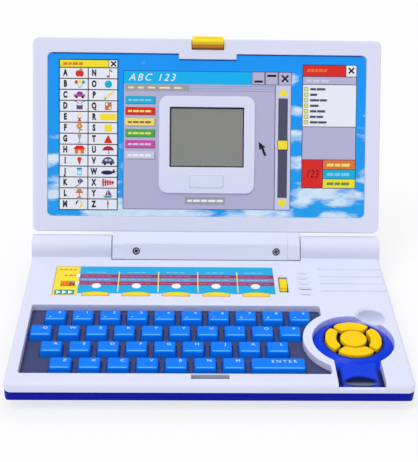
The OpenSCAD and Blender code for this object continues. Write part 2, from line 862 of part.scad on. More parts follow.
module lid_front() {
    color([0.86, 0.87, 0.96]) difference() {
        union() {
            difference() {
                panel(0, bezel_v, 0, bezel_edge_r);
                rise(card_seat_v, far) window(0);
                difference() {
                    rise(-1, 1) rounded_rect(-half_w + wall, half_w - wall, panel_start + wall, lid_length - wall, 3);
                    rise(-2, 2) window(thin_wall);
                    box(-tab_half, tab_half, tab_u - 2, far, -2, 2);
                    box(-barrel_half, barrel_half, 0, window_u0, -2, 2);
                }
            }
            barrel_front();
            rise(card_seat_v - 0.1, bezel_v) frame_rect(surround, 0, surround_r);
            rise(bezel_v - 0.1, bezel_v + 0.3) frame_rect(plaque, 0, 1);
            for (x = [-34, 34], u = [52, 113]) post(x, u, -1, 0.1, 2);
        }
        rise(-1, far) frame_rect(lcd, 0, 0.6);
        rise(-1, card_seat_v - 0.2) frame_rect(lcd, 2.3, 0.6);
        latch_pocket();
        peg_bores();
        along_x(-barrel_hollow_half, barrel_hollow_half)
            polygon([[-7.3, -1], [-7.2, 6.8], [2, 6.8], [9.5, 1.4], [9.5, -1]]);
        for (x = [-lid_screw_x, lid_screw_x]) {
            post(x, lid_screw_u, 5.2, far, lid_screw_well_r);
            post(x, lid_screw_u, -1, far, screw_r + 0.3);
        }
    }
}

module lid_back() {
    color([0.84, 0.85, 0.95]) difference() {
        union() {
            difference() {
                mirror([0, 0, 1]) panel(0, back_v, 0, lid_edge_r);
                mirror([0, 0, 1]) panel(-1, back_v - wall, wall, lid_edge_r - wall);
            }
            box(-latch_half - 4, latch_half + 4, 150, lid_length - 1, -back_v + 1, 0);
            along_x(-barrel_half, barrel_half) intersection() {
                union() {
                    circle(r = shoulder_r);
                    translate([0, -back_v]) square([panel_start + 1, back_v]);
                }
                translate([-far, -far]) square([2 * far, far]);
            }
        }
        latch_pocket();
        box(-latch_half - 1.8, latch_half + 1.8, latch_pocket_u, 161.2, -3, -0.8);
        peg_bores();
        along_x(-barrel_hollow_half, barrel_hollow_half) intersection() {
            union() {
                circle(r = 7.3);
                translate([0, -7.3]) square([30, 8.3]);
            }
            translate([-20, -20]) square([60, 21]);
        }
        for (x = [-lid_screw_x, lid_screw_x]) post(x, lid_screw_u, -6, 1, screw_r + 0.05);
    }
}

module screen_card() {
    color([0.1, 0.6, 0.98]) rise(card_seat_v, card_seat_v + card_t) difference() {
        window(-play);
        frame_rect(surround, play, surround_r + play);
    }
}

module lcd_panel() {
    color([0.48, 0.5, 0.48]) rise(-0.9, card_seat_v - 0.25) frame_rect(lcd, 2, 0.5);
}

module lcd_board() {
    color([0.1, 0.4, 0.2]) {
        rise(-2.6, -1) frame_rect([-37, 37, 45, 116], 0, 1);
        rise(-3.6, -2.5) translate([0, 54]) circle(r = 6);
    }
}

module lid_screws() {
    color("dimgray") for (x = [-lid_screw_x, lid_screw_x]) {
        difference() {
            post(x, lid_screw_u, 5.2, 6.9, screw_head_r - 0.1);
            for (a = [20, 110]) translate([x, lid_screw_u, 6.9]) rotate([0, 0, a]) cube([3.2, 0.8, 1.8], center = true);
        }
        post(x, lid_screw_u, -5.8, 5.2, screw_r);
    }
}

// ---------- the object ----------

in_base() base_bottom();
in_base() base_top();
in_base() key_plate();
in_base() pad_insert();
in_base() strip_label();
in_base() battery_door();
in_base() bottom_screws();
in_base() feet();
in_base() main_board();
in_base() speaker();
in_base() batteries();
in_base() battery_contacts();
in_base() key_membrane();
in_lid() lid_front();
in_lid() lid_back();
in_lid() screen_card();
in_lid() lcd_panel();
in_lid() lcd_board();
in_lid() lid_screws();
in_lid() latch();
in_base() power_switch();
in_base() volume_wheel();
for (i = [0:4])
    in_base() mode_button(mode_x[i]);
in_base() pad_button(90);  // pad_up
in_base() pad_button(180);  // pad_left
in_base() pad_button(270);  // pad_down
in_base() pad_button(0);  // pad_right
in_base() pad_centre();
in_base() number_keys();
in_base() key_enter();
for (r = [1:3], k = [0:row_keys[r] - 1])
    in_base() row_key(r, k);
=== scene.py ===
"""Looks for the toy laptop: fine meshes, prints, materials, lights and the camera.

Everything is drawn in millimetres. Base parts are drawn from the hinge axis (y = 0) and the ground (z = 0),
lid parts lying flat: x across, u along the lid from the hinge axis, v out of the bezel.
"""
import json
import math

import bmesh
import bpy
from mathutils import Matrix, Vector
from mathutils.bvhtree import BVHTree

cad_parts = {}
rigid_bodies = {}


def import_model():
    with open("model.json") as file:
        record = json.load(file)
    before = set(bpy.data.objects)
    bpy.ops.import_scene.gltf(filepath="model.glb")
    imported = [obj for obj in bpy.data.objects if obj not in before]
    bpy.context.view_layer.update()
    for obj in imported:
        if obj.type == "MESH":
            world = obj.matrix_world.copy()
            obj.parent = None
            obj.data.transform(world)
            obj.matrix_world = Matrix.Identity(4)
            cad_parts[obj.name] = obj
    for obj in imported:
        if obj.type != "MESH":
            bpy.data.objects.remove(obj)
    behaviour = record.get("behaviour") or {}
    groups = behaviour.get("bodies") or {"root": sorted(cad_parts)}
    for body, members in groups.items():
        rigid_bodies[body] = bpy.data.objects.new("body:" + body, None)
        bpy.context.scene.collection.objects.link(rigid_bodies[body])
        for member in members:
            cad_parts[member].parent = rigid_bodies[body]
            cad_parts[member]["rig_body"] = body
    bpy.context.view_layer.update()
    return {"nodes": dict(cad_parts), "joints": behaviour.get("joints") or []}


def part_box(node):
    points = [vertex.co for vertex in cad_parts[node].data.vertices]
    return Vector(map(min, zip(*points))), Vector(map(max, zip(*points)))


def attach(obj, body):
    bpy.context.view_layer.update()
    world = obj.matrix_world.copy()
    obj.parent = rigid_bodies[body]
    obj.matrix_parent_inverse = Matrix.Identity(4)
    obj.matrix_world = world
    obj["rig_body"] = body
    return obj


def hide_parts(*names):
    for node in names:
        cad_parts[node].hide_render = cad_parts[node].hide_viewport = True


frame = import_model()

# ---------- places taken from the frame ----------

MM = 0.001
joints = {joint["name"]: joint for joint in frame["joints"]}
hinge = Vector(joints["lid_hinge"]["pos_m"])
latch_axis = joints["latch_slide"]["axis"]
lid_lean = math.atan2(-latch_axis[1], -latch_axis[2])

TO_MM = Matrix.Scale(MM, 4)
BASE = Matrix.Translation((0, hinge.y, 0)) @ TO_MM
LID = Matrix.Translation(hinge) @ Matrix.Rotation(math.pi / 2 - lid_lean, 4, "X") @ TO_MM


def base_box(node):
    """A base node's lowest and highest corners, in millimetres as above."""
    low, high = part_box(node)
    shift = Vector((0, hinge.y, 0))
    return (low - shift) / MM, (high - shift) / MM


# ---------- direction pad and finger scoop ----------

centre_low, centre_high = base_box("pad_centre")
PAD = (centre_low + centre_high) / 2
PAD_FLANGE = 1.4
PAD_OUTER = base_box("pad_right")[1].x - PAD.x - PAD_FLANGE
TAIL_X = -0.45
TAIL_HALF_WIDTH = 15.75
SCOOP_Y = -44.3
SCOOP_HALF = 12
SCOOP_RISE = 7.3
SCOOP_FALL = 3.2
# How far the scoop's painted shade reaches past its lower arc, over the front lip.
SCOOP_SHADE_LIP = 0.9


def arc_radius(half, rise):
    """Radius of an arc that rises that far above its chord."""
    return (half ** 2 + rise ** 2) / (2 * rise)


def scoop_circles():
    """The two circles whose overlap is the scoop: centre x and y, and radius."""
    upper = arc_radius(SCOOP_HALF, SCOOP_RISE)
    lower = arc_radius(SCOOP_HALF, SCOOP_FALL)
    x, y = PAD.x + TAIL_X, PAD.y + SCOOP_Y
    return (x, y + SCOOP_RISE - upper, upper), (x, y - SCOOP_FALL + lower, lower)


# ---------- colours ----------

def srgb(red, green, blue):
    """Linear colour of a colour given from 0 to 255."""
    def linear(value):
        value /= 255
        return value / 12.92 if value <= 0.04045 else ((value + 0.055) / 1.055) ** 2.4
    return (linear(red), linear(green), linear(blue), 1)


def shade(colour, share):
    """A colour made lighter or darker by a share of itself."""
    return tuple(min(1, part * share) for part in colour[:3]) + (1,)


SHELL = srgb(222, 225, 246)
SHELL_BACK = srgb(214, 217, 243)
BLUE_SHELL = srgb(0, 20, 158)
SLATE = srgb(66, 72, 112)
INSERT_BLUE = srgb(0, 60, 222)
KEY_BLUE = srgb(0, 124, 248)
PAD_YELLOW = srgb(255, 206, 0)
MODE_YELLOW = srgb(250, 212, 40)
LATCH_YELLOW = srgb(255, 226, 30)
# The latch's orange is painted shade for the underside of its hook.
LATCH_SHADE_ORANGE = srgb(226, 140, 34)
WHEEL_YELLOW = srgb(250, 222, 20)
# The power switch's orange is its yellow plastic darkened: painted shade for its recess.
SWITCH_SHADED_ORANGE = srgb(244, 130, 20)
LCD_GREY = srgb(132, 133, 128)
SKY_HIGH = srgb(0, 150, 248)
SKY_LOW = srgb(24, 160, 236)
CLOUD = srgb(246, 250, 254)
CLOUD_SHADE = srgb(172, 214, 246)
# Painted shade for the finger scoop, and a lighter painted sheen across its lower half.
SCOOP_SHADE_BLUE = srgb(22, 28, 62)
SCOOP_PAINTED_SHEEN = srgb(100, 110, 146)
# Dark blue painted on the insert as painted shade: round the buttons and down the tail's steep sides.
PAINTED_SHADE_BLUE = srgb(0, 14, 96)
STRIP_CYAN = srgb(0, 170, 226)
FLOOR_WHITE = srgb(128, 128, 129)
FLOOR_GLOW = (1, 1, 1, 1)

INKS = {
    "white": (244, 246, 252), "paper": (236, 238, 247), "black": (22, 22, 34), "navy": (34, 36, 92),
    "red": (222, 38, 34), "crimson": (176, 32, 66), "orange": (228, 118, 58), "yellow": (248, 226, 46),
    "lemon": (240, 226, 110), "green": (62, 176, 72), "leaf": (96, 150, 84), "cyan": (16, 176, 214),
    "azure": (0, 178, 240), "blue": (28, 120, 214), "magenta": (206, 72, 164), "violet": (104, 66, 128),
    "lavender": (184, 181, 212), "pale": (206, 206, 230), "grey": (158, 160, 166),
    "dark_grey": (78, 78, 104), "brown": (150, 92, 66), "cream": (244, 226, 190),
    "steel_blue": (108, 146, 196), "sky": (130, 205, 236), "teal": (20, 150, 150),
    # The dark blue ink on this line is used for a painted shadow under the bezel's edge.
    "shadow_blue": (16, 56, 150), "legend": (206, 234, 255), "maroon": (158, 44, 92),
    "pink": (206, 120, 170),
}


# ---------- materials ----------

class Nodes:
    """A material's node tree, with short calls for what the finishes share."""

    def __init__(self, name):
        self.material = bpy.data.materials.new(name)
        self.material.use_nodes = True
        self.tree = self.material.node_tree
        self.shader = self.tree.nodes["Principled BSDF"]
        self.place = self.add("TexCoord").outputs["Object"]

    def add(self, kind, **settings):
        node = self.tree.nodes.new("ShaderNode" + kind)
        for key, value in settings.items():
            setattr(node, key, value)
        return node

    def feed(self, sockets, values):
        """Gives each socket its value: a node's output, a number, a place or a colour."""
        for socket, value in zip(sockets, values):
            if isinstance(value, bpy.types.NodeSocket):
                self.tree.links.new(value, socket)
            else:
                socket.default_value = value

    def fill(self, node, **values):
        """Feeds a node's inputs by their names, and returns the node."""
        self.feed([node.inputs[key.replace("_", " ")] for key in values], values.values())
        return node

    def set(self, **values):
        """Feeds the shader."""
        self.fill(self.shader, **values)

    def axes(self, place=None):
        """The x, y and z of a place."""
        return self.fill(self.add("SeparateXYZ"), Vector=place or self.place).outputs

    def mapped(self, place, location, rotation=(0, 0, 0), scale=(1, 1, 1), kind="POINT"):
        node = self.add("Mapping", vector_type=kind)
        self.feed(node.inputs, (place, location, rotation, scale))
        return node.outputs["Vector"]

    def math(self, operation, *values):
        node = self.add("Math", operation=operation)
        self.feed(node.inputs, values)
        return node.outputs[0]

    def noise(self, scale, detail=3.0, place=None):
        """A noise of that many waves a metre."""
        node = self.add("TexNoise")
        self.fill(node, Vector=place or self.place, Scale=scale, Detail=detail)
        return node.outputs["Fac"]

    def spread(self, value, low, high, start=0.3, end=0.7):
        """Maps a value between start and end to low and high."""
        node = self.add("MapRange")
        self.feed(node.inputs, (value, start, end, low, high))
        return node.outputs["Result"]

    def mix(self, factor, first, second):
        """Mixes two colours, each a colour or an output."""
        node = self.add("Mix", data_type="RGBA")
        self.feed((node.inputs["Factor"], node.inputs[6], node.inputs[7]), (factor, first, second))
        return node.outputs[2]

    def tint(self, colour, shift=0.025, scale=26):
        """A colour that varies a little from place to place."""
        return self.mix(self.noise(scale), shade(colour, 1 - shift), shade(colour, 1 + shift))

    def paint(self, colour):
        self.set(Base_Color=colour)

    def gloss(self, low, high, scale, detail=3.0):
        """Roughness that wanders between two values."""
        self.set(Roughness=self.spread(self.noise(scale, detail), low, high))

    def bump(self, height, depth):
        """A bump of that depth, in metres."""
        node = self.fill(self.add("Bump"), Strength=1, Distance=depth, Height=height)
        self.set(Normal=node.outputs["Normal"])

    def plastic(self, roughness, grain, shine=0.3, coat=0.0):
        """Moulded plastic: fine grain, and gloss that varies a little where hands rub it."""
        self.gloss(roughness - 0.05, roughness + 0.07, 70, 5)
        self.bump(self.noise(2600, 2), grain)
        self.set(IOR=1.49, Specular_IOR_Level=shine, Coat_Weight=coat, Coat_Roughness=0.16)


def moulded(name, colour, roughness, grain=0.00001, shift=0.025, shine=0.3):
    nodes = Nodes(name)
    nodes.paint(nodes.tint(colour, shift))
    nodes.plastic(roughness, grain, shine)
    return nodes.material


def two_tone(name, first, second, split, blend=0.2 * MM, axis="Y"):
    """Moulded plastic that changes colour at a level of one axis, over twice the blend."""
    nodes = Nodes(name)
    share = nodes.spread(nodes.axes()[axis], 0, 1, split - blend, split + blend)
    nodes.paint(nodes.mix(share, nodes.tint(first), second))
    nodes.plastic(0.36, 0.00001)
    return nodes.material


def ink(name):
    """Printing ink on film, under a clear gloss."""
    material = bpy.data.materials.get("ink_" + name)
    if material is None:
        nodes = Nodes("ink_" + name)
        nodes.paint(nodes.tint(srgb(*INKS[name]), 0.035, 900))
        nodes.gloss(0.34, 0.44, 120)
        nodes.bump(nodes.noise(1800, 2), 0.00001)
        nodes.set(IOR=1.45, Specular_IOR_Level=0.25)
        material = nodes.material
    return material


def sky_film():
    """The printed card: blue sky, deeper at the top, with banks of cloud that thicken downwards."""
    nodes = Nodes("sky_film")
    flat = nodes.mapped(nodes.place, hinge, (math.pi / 2 - lid_lean, 0, 0), kind="TEXTURE")
    stretched = nodes.mapped(flat, (0.31, 0.07, 0), scale=(0.5, 1.3, 1))
    up = nodes.axes(flat)["Y"]
    card_foot = 0.02
    banks = nodes.math("ADD", nodes.noise(60, 9, stretched), nodes.spread(up, 0.10, -0.15, card_foot, 0.145))
    sky = nodes.mix(nodes.spread(up, 0, 1, card_foot, 0.13), SKY_LOW, SKY_HIGH)
    cloud = nodes.mix(nodes.noise(150, 5, stretched), CLOUD_SHADE, CLOUD)
    nodes.paint(nodes.mix(nodes.spread(banks, 0, 1, 0.51, 0.62), sky, cloud))
    nodes.gloss(0.3, 0.4, 90)
    nodes.bump(nodes.noise(1500, 2), 0.00001)
    nodes.set(Specular_IOR_Level=0.25)
    return nodes.material


def lcd_glass():
    """A reflective display: grey behind a fine mesh of dots, under glossy glass."""
    nodes = Nodes("lcd_glass")
    dots = nodes.add("TexVoronoi", distance="CHEBYCHEV")
    nodes.fill(dots, Vector=nodes.place, Scale=1400, Randomness=0)
    patch = nodes.mix(nodes.noise(14), LCD_GREY, shade(LCD_GREY, 0.94))
    cells = nodes.spread(dots.outputs["Distance"], 0, 0.35, 0.38, 0.5)
    nodes.paint(nodes.mix(cells, patch, shade(LCD_GREY, 0.86)))
    nodes.gloss(0.2, 0.28, 60)
    nodes.set(IOR=1.5, Coat_Weight=0.7, Coat_Roughness=0.05)
    return nodes.material


def plated(name, colour, roughness):
    """Plated screw metal with fine turning marks."""
    nodes = Nodes(name)
    nodes.paint(nodes.tint(colour, 0.12, 700))
    nodes.gloss(roughness - 0.08, roughness + 0.12, 1500)
    nodes.bump(nodes.noise(4000, 2), 0.00002)
    nodes.set(Metallic=1.0)
    return nodes.material


def rubber(name, colour):
    nodes = Nodes(name)
    nodes.paint(nodes.tint(colour, 0.1, 300))
    nodes.gloss(0.65, 0.85, 500)
    nodes.bump(nodes.noise(1800, 4), 0.00006)
    return nodes.material


def circuit_board():
    """Green solder mask over copper tracks, with rows of tinned pads."""
    nodes = Nodes("circuit_board")
    tracks = nodes.add("TexBrick")
    nodes.fill(tracks, Vector=nodes.place, Scale=120, Mortar_Size=0.06,
               Color1=srgb(16, 96, 44), Color2=srgb(22, 108, 50), Mortar=srgb(60, 150, 70))
    pads = nodes.fill(nodes.add("TexVoronoi"), Vector=nodes.place, Scale=300)
    tinned = nodes.spread(pads.outputs["Distance"], 1, 0, 0.12, 0.16)
    nodes.paint(nodes.mix(tinned, tracks.outputs["Color"], srgb(196, 196, 190)))
    nodes.set(Roughness=nodes.spread(tinned, 0.4, 0.25, 0, 1))
    nodes.bump(tracks.outputs["Fac"], 0.00004)
    return nodes.material


def insert_finish():
    """Glossy blue plastic, with painted shade round the buttons, down the tail's steep sides and in the
    scoop, and a painted sheen in the scoop.
    """
    nodes = Nodes("insert_shaded_plastic")
    x, y = nodes.axes()[:2]
    level = nodes.add("CombineXYZ")
    nodes.feed(level.inputs, (x, y))

    def reach(centre_x, centre_y):
        """Distance from an upright line, given in millimetres from the hinge axis."""
        node = nodes.add("VectorMath", operation="DISTANCE")
        nodes.feed(node.inputs, (level.outputs["Vector"], (centre_x * MM, hinge.y + centre_y * MM, 0)))
        return node.outputs["Value"]

    pad_y = hinge.y + PAD.y * MM
    # Painted shadow in a ring round the foot of the pad buttons.
    gap = nodes.spread(reach(PAD.x, PAD.y), 0.75, 0, (PAD_OUTER + 1.5) * MM, (PAD_OUTER + 2.7) * MM)
    across = nodes.math("ABSOLUTE", nodes.math("SUBTRACT", x, (PAD.x + TAIL_X) * MM))
    edge = TAIL_HALF_WIDTH * MM
    # Painted shade down the tail's steep sides.
    steep = nodes.math("MULTIPLY", nodes.spread(across, 0, 1, edge - 4.8 * MM, edge - 2.8 * MM),
                       nodes.spread(y, 1, 0, pad_y - 31 * MM, pad_y - 25 * MM))
    blue = nodes.mix(steep, nodes.mix(gap, INSERT_BLUE, PAINTED_SHADE_BLUE), PAINTED_SHADE_BLUE)
    scoop_y = pad_y + SCOOP_Y * MM
    # A painted sheen across the scoop's lower half, between painted shade above and below.
    sheen = nodes.math("MULTIPLY", nodes.spread(y, 1, 0, scoop_y + 1.6 * MM, scoop_y + 3.6 * MM),
                       nodes.spread(y, 0, 1, scoop_y - 0.9 * MM, scoop_y + 0.3 * MM))
    inside = []
    # The scoop's painted shade, carried past its lower arc over the front lip.
    for lip, (centre_x, centre_y, r) in zip((0, SCOOP_SHADE_LIP), scoop_circles()):
        rim = (r + lip) * MM
        inside.append(nodes.spread(reach(centre_x, centre_y), 1, 0, rim - 0.2 * MM, rim + 0.2 * MM))
    scoop = nodes.mix(sheen, SCOOP_SHADE_BLUE, SCOOP_PAINTED_SHEEN)
    nodes.paint(nodes.mix(nodes.math("MULTIPLY", *inside), blue, scoop))
    nodes.plastic(0.33, 0.00001, 0.15, 0.05)
    return nodes.material


def battery_sleeve():
    """Plain cell sleeves, with a copper-coloured band at one end."""
    nodes = Nodes("battery_sleeve")
    low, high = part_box("batteries")
    length = high.x - low.x
    band_x = low.x + 0.7 * length
    band = nodes.spread(nodes.axes()["X"], 0, 1, band_x, band_x + 0.002 * length)
    nodes.paint(nodes.mix(band, srgb(36, 38, 46), srgb(206, 132, 40)))
    nodes.gloss(0.25, 0.4, 200)
    nodes.bump(nodes.noise(900), 0.00002)
    nodes.set(Metallic=0.5)
    return nodes.material


def floor_paper():
    nodes = Nodes("floor_paper")
    nodes.paint(nodes.tint(FLOOR_WHITE, 0.004, 8))
    nodes.bump(nodes.noise(700, 3), 0.00005)
    nodes.set(Roughness=0.9, Specular_IOR_Level=0.1, Emission_Color=FLOOR_GLOW, Emission_Strength=0.75)
    return nodes.material


dish_y = hinge.y - 88 * MM
mode_green_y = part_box("mode_button_1")[1].y - 2 * MM
latch_top_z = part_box("latch")[1].z - 5 * MM

shell_white = moulded("shell_white", SHELL, 0.4, 0.000012)
# The dish bowl's white is painted darker towards its back: painted shade on the bowl's far wall.
dish_painted_shade = two_tone("dish_painted_shade", SHELL, srgb(174, 182, 214), dish_y, 6 * MM)
shell_back = moulded("shell_back", SHELL_BACK, 0.46, 0.00003)
shell_blue = moulded("shell_blue", BLUE_SHELL, 0.36, 0.000012, shine=0.08)
slate_grain = moulded("slate_grain", SLATE, 0.6, 0.00004, shift=0.06, shine=0.2)
insert_shaded_plastic = insert_finish()
# Near-black navy for the web: painted shade in the gaps between the pad buttons.
web_painted_shade = moulded("web_painted_shade", srgb(14, 14, 58), 0.5, shine=0.1)
key_plastic = moulded("key_plastic", KEY_BLUE, 0.36, 0.000015, shine=0.12)
# A lighter blue on the keys' front top edges: a painted highlight.
key_painted_highlight = moulded("key_painted_highlight", srgb(96, 190, 255), 0.3, shine=0.2)
pad_plastic = moulded("pad_plastic", PAD_YELLOW, 0.34, shine=0.12)
mode_plastic = two_tone("mode_plastic", MODE_YELLOW, srgb(200, 226, 30), mode_green_y)
# The latch is yellow above a level and orange below it: painted shade on the hook's underside.
latch_shaded_plastic = two_tone("latch_shaded_plastic", LATCH_SHADE_ORANGE, LATCH_YELLOW, latch_top_z, 0.5 * MM, "Z")
wheel_plastic = moulded("wheel_plastic", WHEEL_YELLOW, 0.4)
# The switch knob is yellow plastic, painted a darker orange as painted shade for its recess.
switch_shaded_plastic = moulded("switch_shaded_plastic", SWITCH_SHADED_ORANGE, 0.38)
speaker_paper = moulded("speaker_paper", srgb(44, 44, 50), 0.7, 0.00005, shift=0.1)
strip_film = moulded("strip_film", STRIP_CYAN, 0.36, 0.000008)
zinc = plated("zinc", srgb(200, 202, 208), 0.3)
# A darker copy of the screw metal, used as painted shade on the lid screws.
screw_shade_steel = plated("screw_shade_steel", srgb(78, 72, 78), 0.42)
foot_rubber = rubber("foot_rubber", srgb(46, 46, 50))
dome_rubber = rubber("dome_rubber", srgb(190, 190, 196))


# ---------- making pieces ----------

def new_object(name, data):
    made = bpy.data.objects.new(name, data)
    bpy.context.scene.collection.objects.link(made)
    return made


def piece(name, bm, place, body, materials, replaces=(), smooth_below=35):
    """Makes a piece from a mesh drawn in millimetres, places it, and has it ride on a body."""
    bm.transform(place)
    bmesh.ops.recalc_face_normals(bm, faces=bm.faces)
    limit = math.radians(smooth_below)
    for edge in bm.edges:
        edge.smooth = edge.is_manifold and edge.calc_face_angle(0) < limit
    for face in bm.faces:
        face.smooth = True
    mesh = bpy.data.meshes.new(name)
    bm.to_mesh(mesh)
    bm.free()
    for material in materials:
        mesh.materials.append(material)
    made = new_object(name, mesh)
    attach(made, body)
    if replaces:
        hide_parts(*replaces)
    return made


def skin(bm, rings, material=0, loop=False):
    """Joins rings of equally many points into one skin, with closed ends or with its ends joined."""
    rows = [[bm.verts.new(point) for point in ring] for ring in rings]
    faces = []
    if not loop:
        faces += [bm.faces.new(list(reversed(rows[0]))), bm.faces.new(rows[-1])]
    for low, high in zip(rows, rows[1:] + rows[:1] if loop else rows[1:]):
        for i in range(len(low)):
            j = (i + 1) % len(low)
            faces.append(bm.faces.new((low[i], low[j], high[j], high[i])))
    for face in faces:
        face.material_index = material


def turned(bm, x, y, profile, steps=64, material=0, loop=False):
    """A turned shape: profile holds radius and height, from the bottom up."""
    turns = [2 * math.pi * step / steps for step in range(steps)]
    rings = [[(x + r * math.cos(turn), y + r * math.sin(turn), z) for turn in turns] for r, z in profile]
    skin(bm, rings, material, loop)


def add_bar(bm, x, y, turn, start, end, half, low, high, material=0):
    """A straight bar with upright sides that runs outwards from a spot, at a turn in degrees."""
    along = Vector((math.cos(math.radians(turn)), math.sin(math.radians(turn))))
    side = Vector((-along.y, along.x)) * half
    near, far = Vector((x, y)) + along * start, Vector((x, y)) + along * end
    corners = (near - side, far - side, far + side, near + side)
    skin(bm, [[(*corner, z) for corner in corners] for z in (low, high)], material)


def rounded_edge(edge, top, steps):
    """Inset and height of points up an edge that is rounded below a level top."""
    angles = [math.pi / 2 * step / steps for step in range(1, steps + 1)]
    return [(edge * (1 - math.cos(angle)), top - edge + edge * math.sin(angle)) for angle in angles]


def arc(x, y, rx, ry, start, end, steps=14):
    """Points along an oval arc, between two angles in degrees."""
    angles = [math.radians(start + (end - start) * step / steps) for step in range(steps + 1)]
    return [(x + rx * math.cos(angle), y + ry * math.sin(angle)) for angle in angles]


def rounded_ring(x0, x1, y0, y1, r, z, steps=5):
    """Points of a level rounded rectangle, anticlockwise."""
    points = []
    corners = ((x1 - r, y0 + r), (x1 - r, y1 - r), (x0 + r, y1 - r), (x0 + r, y0 + r))
    for turn, (cx, cy) in enumerate(corners):
        points += arc(cx, cy, r, r, 90 * turn - 90, 90 * turn, steps)
    return [(x, y, z) for x, y in points]


def soft_copy(node, material, width=0.4, segments=2):
    """Stands for a CAD node: the same shape with every hard edge broken by a small round."""
    source = frame["nodes"][node]
    bm = bmesh.new()
    bm.from_mesh(source.data)
    surface = BVHTree.FromBMesh(bm)
    flat, hard = 0.01, 0.5
    bmesh.ops.remove_doubles(bm, verts=bm.verts, dist=0.001 * MM)
    bmesh.ops.dissolve_limit(bm, angle_limit=flat, verts=bm.verts, edges=bm.edges, delimit=set())
    edges = [edge for edge in bm.edges if edge.is_manifold and edge.calc_face_angle(0) > hard]
    bmesh.ops.bevel(bm, geom=edges, offset=width * MM, segments=segments, profile=0.5,
                    affect="EDGES", clamp_overlap=False, offset_type="OFFSET")
    low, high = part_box(node)
    for vertex in bm.verts:
        nearest, _, _, distance = surface.find_nearest(vertex.co)
        if distance > 1.2 * width * MM:
            vertex.co = nearest
        vertex.co = [min(max(value, start), end) for value, start, end in zip(vertex.co, low, high)]
    for face in bm.faces:
        face.material_index = 0
    bmesh.ops.triangulate(bm, faces=[face for face in bm.faces if len(face.verts) > 4])
    made = piece(node + "_fine", bm, Matrix.Identity(4), source["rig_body"], [material], [node], 50)
    weighted = made.modifiers.new("weighted_normals", "WEIGHTED_NORMAL")
    weighted.keep_sharp = True


def text_mesh(words, size, thick, **style):
    """Flat lettering as a mesh, centred on its own middle."""
    curve = bpy.data.curves.new("lettering", "FONT")
    settings = {"body": words, "size": size, "extrude": thick / 2, "resolution_u": 3,
                "align_x": "CENTER", "align_y": "CENTER"}
    for key, value in (settings | style).items():
        setattr(curve, key, value)
    holder = new_object("lettering", curve)
    bpy.context.view_layer.update()
    mesh = bpy.data.meshes.new_from_object(holder.evaluated_get(bpy.context.evaluated_depsgraph_get()))
    bpy.data.objects.remove(holder)
    bpy.data.curves.remove(curve)
    return mesh


def add_text(bm, mesh, place, squeeze, material):
    """Adds lettering to a mesh, narrowed or widened, in one material."""
    mesh.transform(Matrix.Translation(place) @ Matrix.Diagonal((squeeze, 1, 1, 1)))
    for polygon in mesh.polygons:
        polygon.material_index = material
    bm.from_mesh(mesh)
    bpy.data.meshes.remove(mesh)


class Print:
    """Thin inked shapes joined into one piece. A higher layer covers a lower one."""

    LAYER = 0.03
    SUNK = 0.02

    def __init__(self, level):
        self.bm = bmesh.new()
        self.level = level
        self.inks = []
        self.x = 0
        self.y = 0
        self.scale = 1

    def ink(self, name):
        if name not in self.inks:
            self.inks.append(name)
        return self.inks.index(name)

    def shape(self, colour, points, layer=1):
        """An outline filled with ink, counted from the sheet's x and y in steps of its scale."""
        outline = [(self.x + self.scale * x, self.y + self.scale * y) for x, y in points]
        levels = (self.level - self.SUNK, self.level + self.LAYER * layer)
        skin(self.bm, [[(*point, z) for point in outline] for z in levels], self.ink(colour))

    def rect(self, colour, x0, x1, y0, y1, layer=1):
        self.shape(colour, [(x0, y0), (x1, y0), (x1, y1), (x0, y1)], layer)

    def frame(self, colour, outer, inner, layer=1):
        """The space between two rectangles, each given as x0, x1, y0, y1."""
        x0, x1, y0, y1 = outer
        left, right, low, high = inner
        self.rect(colour, x0, x1, y0, low, layer)
        self.rect(colour, x0, x1, high, y1, layer)
        self.rect(colour, x0, left, low, high, layer)
        self.rect(colour, right, x1, low, high, layer)

    def oval(self, colour, x, y, rx, ry, layer=1):
        self.shape(colour, arc(x, y, rx, ry, 0, 345, 23), layer)

    def line(self, colour, x0, y0, x1, y1, width, layer=1):
        along = Vector((x1 - x0, y1 - y0)).normalized() * width / 2
        side = Vector((-along.y, along.x))
        a, b = Vector((x0, y0)), Vector((x1, y1))
        self.shape(colour, [a - side, b - side, b + side, a + side], layer)

    def cross(self, x, y, size, width, layer):
        """The two strokes of a closing cross."""
        self.line("black", x - size, y - size, x + size, y + size, width, layer)
        self.line("black", x - size, y + size, x + size, y - size, width, layer + 0.4)

    def text(self, colour, words, x, y, size, layer, squeeze=1.0, **style):
        mesh = text_mesh(words, size, 2 * self.LAYER, **style)
        add_text(self.bm, mesh, (x, y, self.level + self.LAYER * (layer - 1)), squeeze, self.ink(colour))

    def dashes(self, colour, x, y, lengths, height, layer=1, gap=0.6, slant=0.0):
        """A row of short bars that stands for a line of words."""
        top, lean = y + height, height * slant
        for length in lengths:
            end = x + length
            self.shape(colour, [(x, y), (end, y), (end + lean, top), (x + lean, top)], layer)
            x = end + gap

    def make(self, name, place=LID, body="lid"):
        piece(name, self.bm, place, body, [ink(colour) for colour in self.inks], smooth_below=20)


# ---------- shells and inner parts ----------

SCREW_HEAD_R = 2.6
SCREW_U = -2.8
SCREW_SHANK = [(1.1, -5.8), (1.1, 5.2)]
SCREW_BEVEL = SCREW_SHANK + [(SCREW_HEAD_R, 5.2), (SCREW_HEAD_R, 6.2), (2.45, 6.45), (2.05, 6.7)]
SCREW_RIM = [(2.0, 6.6), (2.0, 6.78), (1.9, 6.84), (1.25, 6.86), (1.2, 6.6)]
SCREW_MIDDLE = [(1.18, 6.5), (1.18, 6.72), (0.4, 6.74), (0.05, 6.75)]


